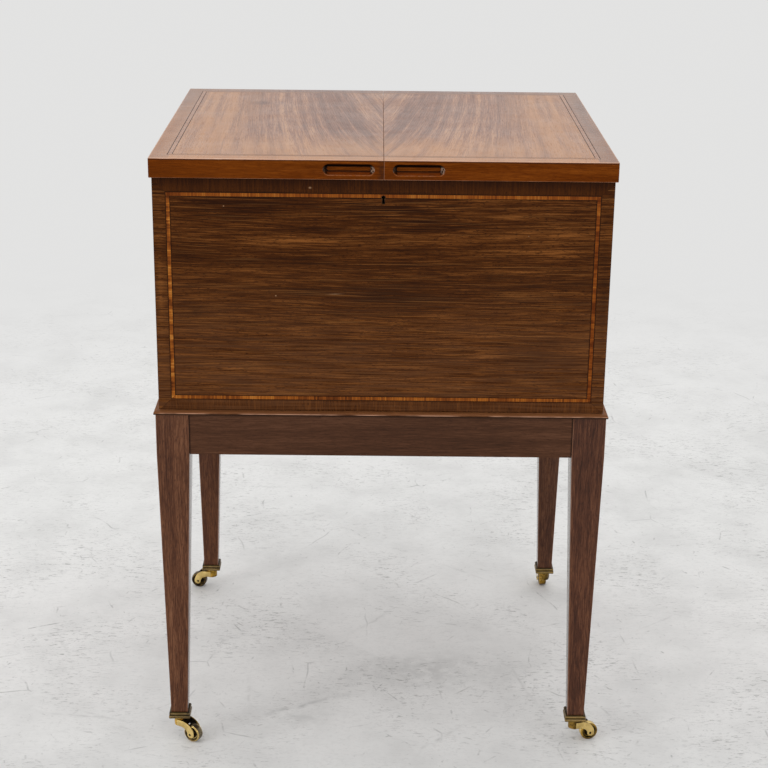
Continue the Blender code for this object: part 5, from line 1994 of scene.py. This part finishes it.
@dataclass
class Caster:
    """A brass socket caster: a square cup, a horn that swivels under it, and a dished wheel."""

    place: CasterPlace
    foot_x: float = 0.2819
    foot_y: float = 0.2449
    socket_half: float = 0.0150
    socket_corner: float = 0.0012
    underside: float = 0.0360
    height: float = 0.0098
    plate: float = 0.0030
    rim_inset: float = 0.0015
    cavity: float = 0.0120
    cavity_corner: float = 0.0007
    trail: float = 0.0220
    axle_height: float = 0.01262
    fork_top: float = 0.0357
    horn_top: float = 0.0315
    throat: float = 0.0215
    brow_reach: float = 0.0070
    throat_reach: float = 0.0060
    web_reach: float = 0.0125
    end_ahead: float = 0.0064
    end_behind: float = 0.0045
    end_drop: float = 0.0052
    fork_half: float = 0.0094
    cheek: float = 0.0022
    hub_radius: float = 0.0087
    hub_height: float = 0.0150
    ease: float = 0.0006
    spindle: float = 0.0025
    head: Flat = (0.0038, 0.0015)
    room: float = 0.0139
    wheel_half: float = 0.00625
    bore: float = 0.0018
    axle: float = 0.0015
    steps: int = 32
    wheel_steps: int = 64
    curve_steps: int = 20
    hub_steps: int = 48
    hollow_steps: int = 44

    @property
    def corner(self) -> str:
        """The caster's corner, as the solids are named."""
        return self.place.name.lower()

    def _foot(self) -> Matrix:
        """From the cabinet's middle to its foot."""
        sx, sy = self.place.value[:2]
        return Matrix.Translation((sx * self.foot_x, sy * self.foot_y, 0.0))

    def _stand(self) -> Matrix:
        """From the swivel's own axis to where it stands."""
        return self._foot() @ Matrix.Rotation(math.radians(self.place.value[2]), 4, "Z")

    def _at_axle(self) -> Matrix:
        """From the middle of the axle, with Y along it, to where it stands."""
        return self._stand() @ Matrix.Translation((self.trail, 0.0, self.axle_height))

    def socket(self) -> Draft:
        """The cup with its moulded rim.

        Returns:
            The draft.
        """
        rows = [(0.0, 0.0014), (0.0002, 0.0007), (0.0006, 0.0002), (0.0011, 0.0), (0.0028, 0.0),
                (0.0036, 0.0), (0.0041, 0.0003), (0.0045, 0.0009), (0.0049, 0.0012), (0.0054, 0.0012),
                (0.0058, 0.0009),
                (0.0062, 0.0006), (0.0066, 0.0005), (0.0075, 0.0005), (0.0082, 0.0005), (0.0086, 0.0007),
                (0.0090, 0.0011), (0.0094, 0.0013), (self.height, self.rim_inset)]
        sizes = [(rise, self.socket_half - inset, self.socket_corner) for rise, inset in rows]
        sizes += [(rise, self.cavity, self.cavity_corner) for rise in (self.height, self.plate)]
        loops = [raised(square(reach, reach, radius, steps=4), self.underside + rise)
                 for rise, reach, radius in sizes]
        hole = bar(ring((0.0, 0.0), self.spindle + PLAY, self.steps),
                   (self.underside - CLEAR, self.underside + self.plate + CLEAR))
        return Draft().skin(loops).carve(hole).moved(self._foot())

    def socket_paint(self, middle: Vector, normal: Vector) -> int:
        """Which finish a face of the cup has.

        Args:
            middle: The face's middle.
            normal: The way it faces.

        Returns:
            0 for the flats, 1 for the rubbed edges and 2 for the grooves, the underside and the hollow.
        """
        rise = middle.z - self.underside
        spot = self._foot().inverted() @ middle
        out = max(abs(spot.x), abs(spot.y))
        if out < self.cavity + 0.0002 or normal.z < -0.9 or 0.0041 < rise < 0.0060 or rise > 0.0088:
            return 2
        return 1 if 0.0028 < rise < 0.0041 or 0.0075 < rise < 0.0088 or rise < 0.0008 else 0

    def fork(self) -> Draft:
        """The horn: a hub with its spindle, and two cheeks beside the wheel, their edges eased.

        Returns:
            The draft.
        """
        ahead, behind, half = self.end_ahead, self.end_behind, self.fork_half
        steps, level = self.curve_steps, self.axle_height
        brow = quarter((self.brow_reach, self.horn_top), (self.trail + ahead, level), steps)
        inside = quarter((self.throat_reach, self.throat), (self.trail - behind, level), steps)
        middle, reach = self.trail + (ahead - behind) / 2, (ahead + behind) / 2
        curve = arc((0.0, 0.0), 1.0, 0, -180, steps)
        tip = [(middle + reach * x, level + self.end_drop * z) for x, z in curve]
        outline = [(0.0, self.throat), (0.0, self.horn_top)] + brow[:-1] + tip + list(reversed(inside[:-1]))
        horn = self._eased_horn(outline, half)
        top, floor = self.fork_top, self.underside + self.plate + PLAY
        low, radius, ease = top - self.hub_height, self.hub_radius, self.ease
        head, head_height = self.head
        hub = turned([
            (radius - 2.2 * ease, low), (radius - 0.7 * ease, low + 0.3 * ease), (radius, low + ease),
            (radius, top - ease), (radius - 0.3 * ease, top - 0.3 * ease), (radius - ease, top),
            (self.spindle, top), (self.spindle, floor), (head, floor), (head - ease, floor + head_height),
        ], self.hub_steps)
        slot = half - self.cheek
        centre = (self.trail, level)
        start = math.degrees(math.acos((self.web_reach - self.trail) / self.room))
        round_wheel = arc(centre, self.room, start, 360, self.hollow_steps)
        hollow = [(self.web_reach, top)] + round_wheel + [(self.trail + self.room, top)]
        axle_bore = bar(ring(centre, self.bore, self.steps), (-half - CLEAR, half + CLEAR), "Y")
        return horn.fuse(hub).carve(bar(hollow, (-slot, slot), "Y"), axle_bore).moved(self._stand())

    def _eased_horn(self, outline: Sequence[Flat], half: float) -> Draft:
        """The horn's bar with its outer edges rounded.

        Args:
            outline: The horn from the side.
            half: Half its width.

        Returns:
            The draft.
        """
        draft = bar(outline, (-half, half), "Y")
        edges = []
        for edge in draft.bm.edges:
            ends = [vert.co for vert in edge.verts]
            if all(abs(abs(co.y) - half) < 1e-6 for co in ends) and ends[0].y * ends[1].y > 0 and (
                    max(co.x for co in ends) > 0.004):
                edges.append(edge)
        bmesh.ops.bevel(draft.bm, geom=edges, offset=self.ease, segments=2, profile=0.5, affect="EDGES")
        return draft

    def fork_paint(self, middle: Vector, normal: Vector) -> int:
        """Which finish a face of the horn has.

        Args:
            middle: The face's middle.
            normal: The way it faces.

        Returns:
            0 for the cheeks and hub, 1 for their rubbed edges and 2 for the tarnish between the cheeks.
        """
        spot = self._stand().inverted() @ middle
        if abs(spot.y) < self.fork_half - self.cheek + 0.0001 and spot.x > self.hub_radius:
            return 2
        level = self._stand().to_3x3().inverted() @ normal
        if spot.x > self.hub_radius and 0.2 < abs(level.y) < 0.97:
            return 1
        near_end = min(self.fork_top - spot.z, spot.z - (self.fork_top - self.hub_height))
        return 1 if near_end < 0.0007 and abs(level.z) < 0.97 else 0

    def wheel(self) -> Draft:
        """A dished wheel with turned rings and one facet flat on the floor.

        Returns:
            The draft.
        """
        half, steps = self.wheel_half, self.wheel_steps
        near = [
            (self.bore, half - 0.0003), (0.0022, half), (0.0038, half), (0.0042, half - 0.0004),
            (0.0044, half - 0.0018), (0.0050, half - 0.0032), (0.0058, half - 0.0037),
            (0.0070, half - 0.0038), (0.0074, half - 0.0030), (0.0082, half - 0.0029),
            (0.0086, half - 0.0034), (0.0092, half - 0.0014), (0.0097, half - 0.0006),
            (0.0103, half - 0.0003), (0.0110, half - 0.0004), (0.0118, half - 0.0008),
            (0.01235, half - 0.0014), (0.01262, half - 0.0022), (0.01262, half - 0.0044),
        ]
        profile = near + [(radius, -across) for radius, across in reversed(near)]
        reach = 1 / math.cos(math.pi / steps)
        loops = []
        for i in range(steps):
            angle = -math.pi / 2 + 2 * math.pi / steps * (i + 0.5)
            cos, sin = math.cos(angle) * reach, math.sin(angle) * reach
            loops.append([(radius * cos, across, radius * sin) for radius, across in profile])
        return Draft().skin(loops, around=True).moved(self._at_axle())

    def wheel_paint(self, middle: Vector, normal: Vector) -> int:
        """Which finish a face of the wheel has.

        Args:
            middle: The face's middle.
            normal: The way it faces, which makes no difference.

        Returns:
            0 for the rim and hub, 1 for their rubbed rings, 2 for the dish between them and 3 for the tread.
        """
        spot = self._at_axle().inverted() @ middle
        radius = math.hypot(spot.x, spot.z)
        if 0.0041 < radius < 0.0072 or 0.0083 < radius < 0.0093 or radius < self.bore + 0.0001:
            return 2
        return 1 if 0.0072 < radius < 0.0083 or 0.0112 < radius < 0.0125 else 3 if radius > 0.0125 else 0

    def axle_draft(self) -> Draft:
        """The axle with its riveted ends.

        Returns:
            The draft.
        """
        half = self.fork_half
        near = [(half + 0.0004, 0.0006), (half + 0.0003, 0.0011), (half, self.axle)]
        rows = [(-y, radius) for y, radius in near] + near[::-1]
        loops = [[(x, y, z) for x, z in ring((0.0, 0.0), radius, self.steps)] for y, radius in rows]
        return Draft().skin(loops).moved(self._at_axle())

    def build(self, shop: Workshop) -> None:
        """Make the caster's four pieces.

        Args:
            shop: The workshop.
        """
        name, dark = f"caster_{self.corner}", "brass_deep_tarnish"
        socket, fork, wheel, rings, tread = self.place.value[3:]
        for part, draft, finishes, paint, body, slot in (
            ("socket", self.socket(), (socket, "brass_worn_line", "brass_groove"), self.socket_paint,
             "cabinet", "tarnished_brass"),
            ("fork", self.fork(), (fork, "brass_rubbed_edge", dark), self.fork_paint, f"{name}_swivel",
             "caster_brass"),
            ("axle", self.axle_draft(), (dark,), None, f"{name}_swivel", "tarnished_brass"),
            ("wheel", self.wheel(), (wheel, rings, dark, tread), self.wheel_paint, f"{name}_wheel",
             "tarnished_brass"),
        ):
            shop.publish(f"{name}_{part}", draft, finishes, body, slot, Smoothing.ROUND, paint)


@dataclass
class LockWork:
    """The box lock, its bolt, and the two looped strikers, with their screws."""

    underside: float = 0.8195
    case_top: float = 0.8192
    middle_y: float = -0.24825
    half: Flat = (0.032, 0.00575)
    height: float = 0.038
    wall: float = 0.0020
    room: float = 0.0150
    slot: Flat = (0.0016, 0.0036)
    spacing: float = 0.012
    plate: Point = (0.0090, 0.0045, 0.0014)
    loop: Point = (0.0010, 0.0033, 0.0105)
    eye: float = 0.0019
    screw_radius: float = 0.0019
    screw_depth: float = 0.0010
    screw_x: float = 0.0265
    plate_screw_x: float = 0.0058
    plate_corner: float = 0.0009
    loop_corner: float = 0.0016
    case_corner: float = 0.0003
    screw_hole: float = 0.0012
    steps: int = 28
    brass: str = "lock_brass"

    def striker(self, sx: int) -> Draft:
        """A plate with a round-ended loop that hangs into the lock.

        Args:
            sx: -1 for the left one, 1 for the right.

        Returns:
            The draft.
        """
        x = sx * self.spacing
        half_x, half_y, thick = self.plate
        plate = square(half_x, half_y, self.plate_corner, (x, self.middle_y))
        draft = bar(plate, (self.underside, self.underside + thick))
        half_loop, reach, drop = self.loop
        bottom = self.underside - drop
        outline = rounded([
            (self.middle_y - reach, self.underside + thick / 2, 0.0),
            (self.middle_y - reach, bottom, self.loop_corner),
            (self.middle_y + reach, bottom, self.loop_corner),
            (self.middle_y + reach, self.underside + thick / 2, 0.0),
        ], 5)
        draft.fuse(bar(outline, (x - half_loop, x + half_loop), "X"))
        eye = (self.middle_y - self.eye, self.middle_y + self.eye)
        level = (bottom + self.eye, bottom + 3 * self.eye)
        tools = [block((x - 2 * half_loop, x + 2 * half_loop), eye, level)]
        for place in self._plate_screws(x):
            hole = ring(place, self.screw_radius + SCREW_PLAY, self.steps)
            tools.append(bar(hole, (self.underside - CLEAR, self.underside + 3 * CLEAR)))
        return draft.carve(*tools)

    def _plate_screws(self, x: float) -> list[Flat]:
        """The middles of a striker's two screws."""
        return [(x - self.plate_screw_x, self.middle_y), (x + self.plate_screw_x, self.middle_y)]

    def case(self, keyhole: Keyhole) -> Draft:
        """The lock's box, hollow for the bolt, with the strikers' slots and two screw holes on top.

        Args:
            keyhole: The keyhole, which goes on into the box.

        Returns:
            The draft.
        """
        half_x, half_y = self.half
        top, back, wall = self.case_top, self.middle_y + half_y, self.wall
        draft = bar(square(half_x, half_y, self.case_corner, (0.0, self.middle_y)), (top - self.height, top))
        tools = [block((-half_x + wall, half_x - wall), (self.middle_y - half_y + wall, back - wall),
                       (top - wall - self.room, top - wall))]
        for sx in SIDES.values():
            x = sx * self.spacing
            tools.append(block((x - self.slot[0], x + self.slot[0]),
                               (self.middle_y - self.slot[1], self.middle_y + self.slot[1]),
                               (top - wall - PLAY, top + CLEAR)))
            hole = ring((sx * self.screw_x, self.middle_y), self.screw_radius + SCREW_PLAY, self.steps)
            tools.append(bar(hole, (top - self.screw_hole, top + CLEAR)))
        tools.append(keyhole.shape(0.0, self.middle_y - half_y - CLEAR, self.middle_y))
        return draft.carve(*tools)

    def build(self, keyhole: Keyhole, shop: Workshop) -> None:
        """Make the lock's pieces and dress the bolt.

        Args:
            keyhole: The keyhole.
            shop: The workshop.
        """
        def paint(middle: Vector, normal: Vector) -> int:
            """Which finish a face of the box has.

            Args:
                middle: The face's middle.
                normal: The way it faces, which makes no difference.

            Returns:
                0 for the outside, 1 for the inside, painted dark as shade.
            """
            spans = ((middle.x, self.half[0]), (middle.y - self.middle_y, self.half[1]))
            inside = all(abs(place) < half - CLEAR / 2 for place, half in spans)
            return 1 if inside and middle.z < self.case_top - CLEAR / 2 else 0

        brass, size = self.brass, (self.screw_radius, self.screw_depth)
        shop.publish("lock_case", self.case(keyhole), [brass, "painted_shade_inside"], "cabinet", brass,
                     paint=paint)
        for side, sx in SIDES.items():
            seat = Matrix.Translation((sx * self.screw_x, self.middle_y, self.case_top - SCREW_SINK))
            head = slotted_screw(*size, 20.0 + 70.0 * sx)
            shop.screw(f"lock_screw_{side}", head, seat, brass, "cabinet", False)
            name, body = f"lock_striker_{side}", f"lid_{side}"
            shop.publish(name, self.striker(sx), [brass], body, brass)
            for number, (x, y) in enumerate(self._plate_screws(sx * self.spacing), start=1):
                seat = Matrix.Translation((x, y, self.underside + SCREW_SINK))
                head = slotted_screw(*size, 50.0 * number + 15.0 * sx)
                shop.screw(f"{name}_screw_{number}", head, seat, brass, body, True)
        shop.dress("lock_bolt", "lock_steel")
        keyhole.build(shop)


# The studio


@dataclass
class Studio:
    """The pale floor, the surroundings, the lamps and the camera."""

    floor_half: float = 14.0
    surround_seen: float = 0.765
    surround_light: float = 0.95
    overhead: tuple[Point, float, float] = ((-0.1, 0.1, 3.2), 3.0, 9.0)
    left: tuple[Point, float, float] = ((-2.8, -1.9, 1.7), 0.7, 18.0)
    right: tuple[Point, float, float] = ((1.6, -2.7, 1.3), 0.8, 7.0)
    aim: Point = (0.0, 0.0, 0.45)
    camera_place: Point = (-0.0100, -2.4363, 1.3002)
    pitch: float = 19.168
    yaw: float = 0.355
    roll: float = 0.676
    lens: float = 81.34
    sensor: float = 36.0
    far_end: float = 60.0

    def floor(self) -> None:
        """Lay the floor."""
        half = self.floor_half
        corners = raised([(-half, -half), (half, -half), (half, half), (-half, half)], 0.0)
        finish = StudioFloor("studio_floor", marks=FLOOR_MARKS)
        mesh = bpy.data.meshes.new(finish.name)
        mesh.from_pydata(corners, [], [(0, 1, 2, 3)])
        mesh.materials.append(finish.make())
        placed(finish.name, mesh)

    def surroundings(self) -> None:
        """Make the pale room, seen at one level and lighting at another."""
        world = bpy.data.worlds.new("pale_room")
        bpy.context.scene.world = world
        world.use_nodes = True
        board = NodeBoard(world.node_tree)
        strength = seen_directly(board) * (self.surround_seen - self.surround_light) + self.surround_light
        light = board.node("ShaderNodeBackground", sockets={"Color": PALE_LIGHT, "Strength": strength})
        board.node("ShaderNodeOutputWorld", sockets={"Surface": light})

    def lamp(self, name: str, place: Point, size: float, power: float) -> None:
        """Hang a soft lamp aimed at the cabinet.

        Args:
            name: Its name.
            place: Where it hangs.
            size: Its side.
            power: Its power in watts.
        """
        data = bpy.data.lights.new(name, "AREA")
        data.size = size
        data.energy = power
        lamp = placed(name, data)
        lamp.location = place
        lamp.rotation_euler = (Vector(self.aim) - Vector(place)).to_track_quat("-Z", "Y").to_euler()

    def camera(self) -> None:
        """Stand the camera at the photograph's place."""
        pitch, yaw, roll = (math.radians(angle) for angle in (self.pitch, self.yaw, self.roll))
        forward = Vector((math.sin(yaw) * math.cos(pitch), math.cos(yaw) * math.cos(pitch), -math.sin(pitch)))
        level = Vector((math.cos(yaw), -math.sin(yaw), 0.0))
        upward = level.cross(forward)
        right = level * math.cos(roll) + upward * math.sin(roll)
        up = upward * math.cos(roll) - level * math.sin(roll)
        data = bpy.data.cameras.new("camera")
        data.lens = self.lens
        data.sensor_width = self.sensor
        data.sensor_fit = "HORIZONTAL"
        data.clip_end = self.far_end
        camera = placed("camera", data)
        turn = Matrix([(right[i], up[i], -forward[i]) for i in range(3)]).to_4x4()
        camera.matrix_world = Matrix.Translation(self.camera_place) @ turn
        bpy.context.scene.camera = camera

    def build(self) -> None:
        """Set the studio up."""
        bpy.context.scene.view_settings.view_transform = "Standard"
        self.floor()
        self.surroundings()
        self.lamp("overhead_lamp", *self.overhead)
        self.lamp("left_lamp", *self.left)
        self.lamp("right_lamp", *self.right)
        self.camera()


def main() -> None:
    """Build the cabinet and its studio."""
    logging.basicConfig(level=logging.INFO, format="%(message)s")
    Studio().build()
    log.info("studio: floor, surroundings, lamps and camera")
    shop = Workshop()
    log.info("finishes: made")
    hinges = HingeSet()
    keyhole = Keyhole()
    Stand().build(shop)
    log.info("stand: legs, rails and moulding")
    Case().build(keyhole, shop)
    log.info("case: boards, banding and cells")
    for side in SIDES:
        Lid(side).build(hinges, shop)
        log.info("lid_%s: panel, edging and stringing", side)
    hinges.build(shop)
    log.info("hinges: leaves, pins and screws")
    LockWork().build(keyhole, shop)
    log.info("lock: case, bolt, strikers, screws and keyhole liner")
    for place in CasterPlace:
        Caster(place).build(shop)
        log.info("caster_%s: socket, fork, axle and wheel", place.name.lower())


if __name__ == "__main__":
    main()
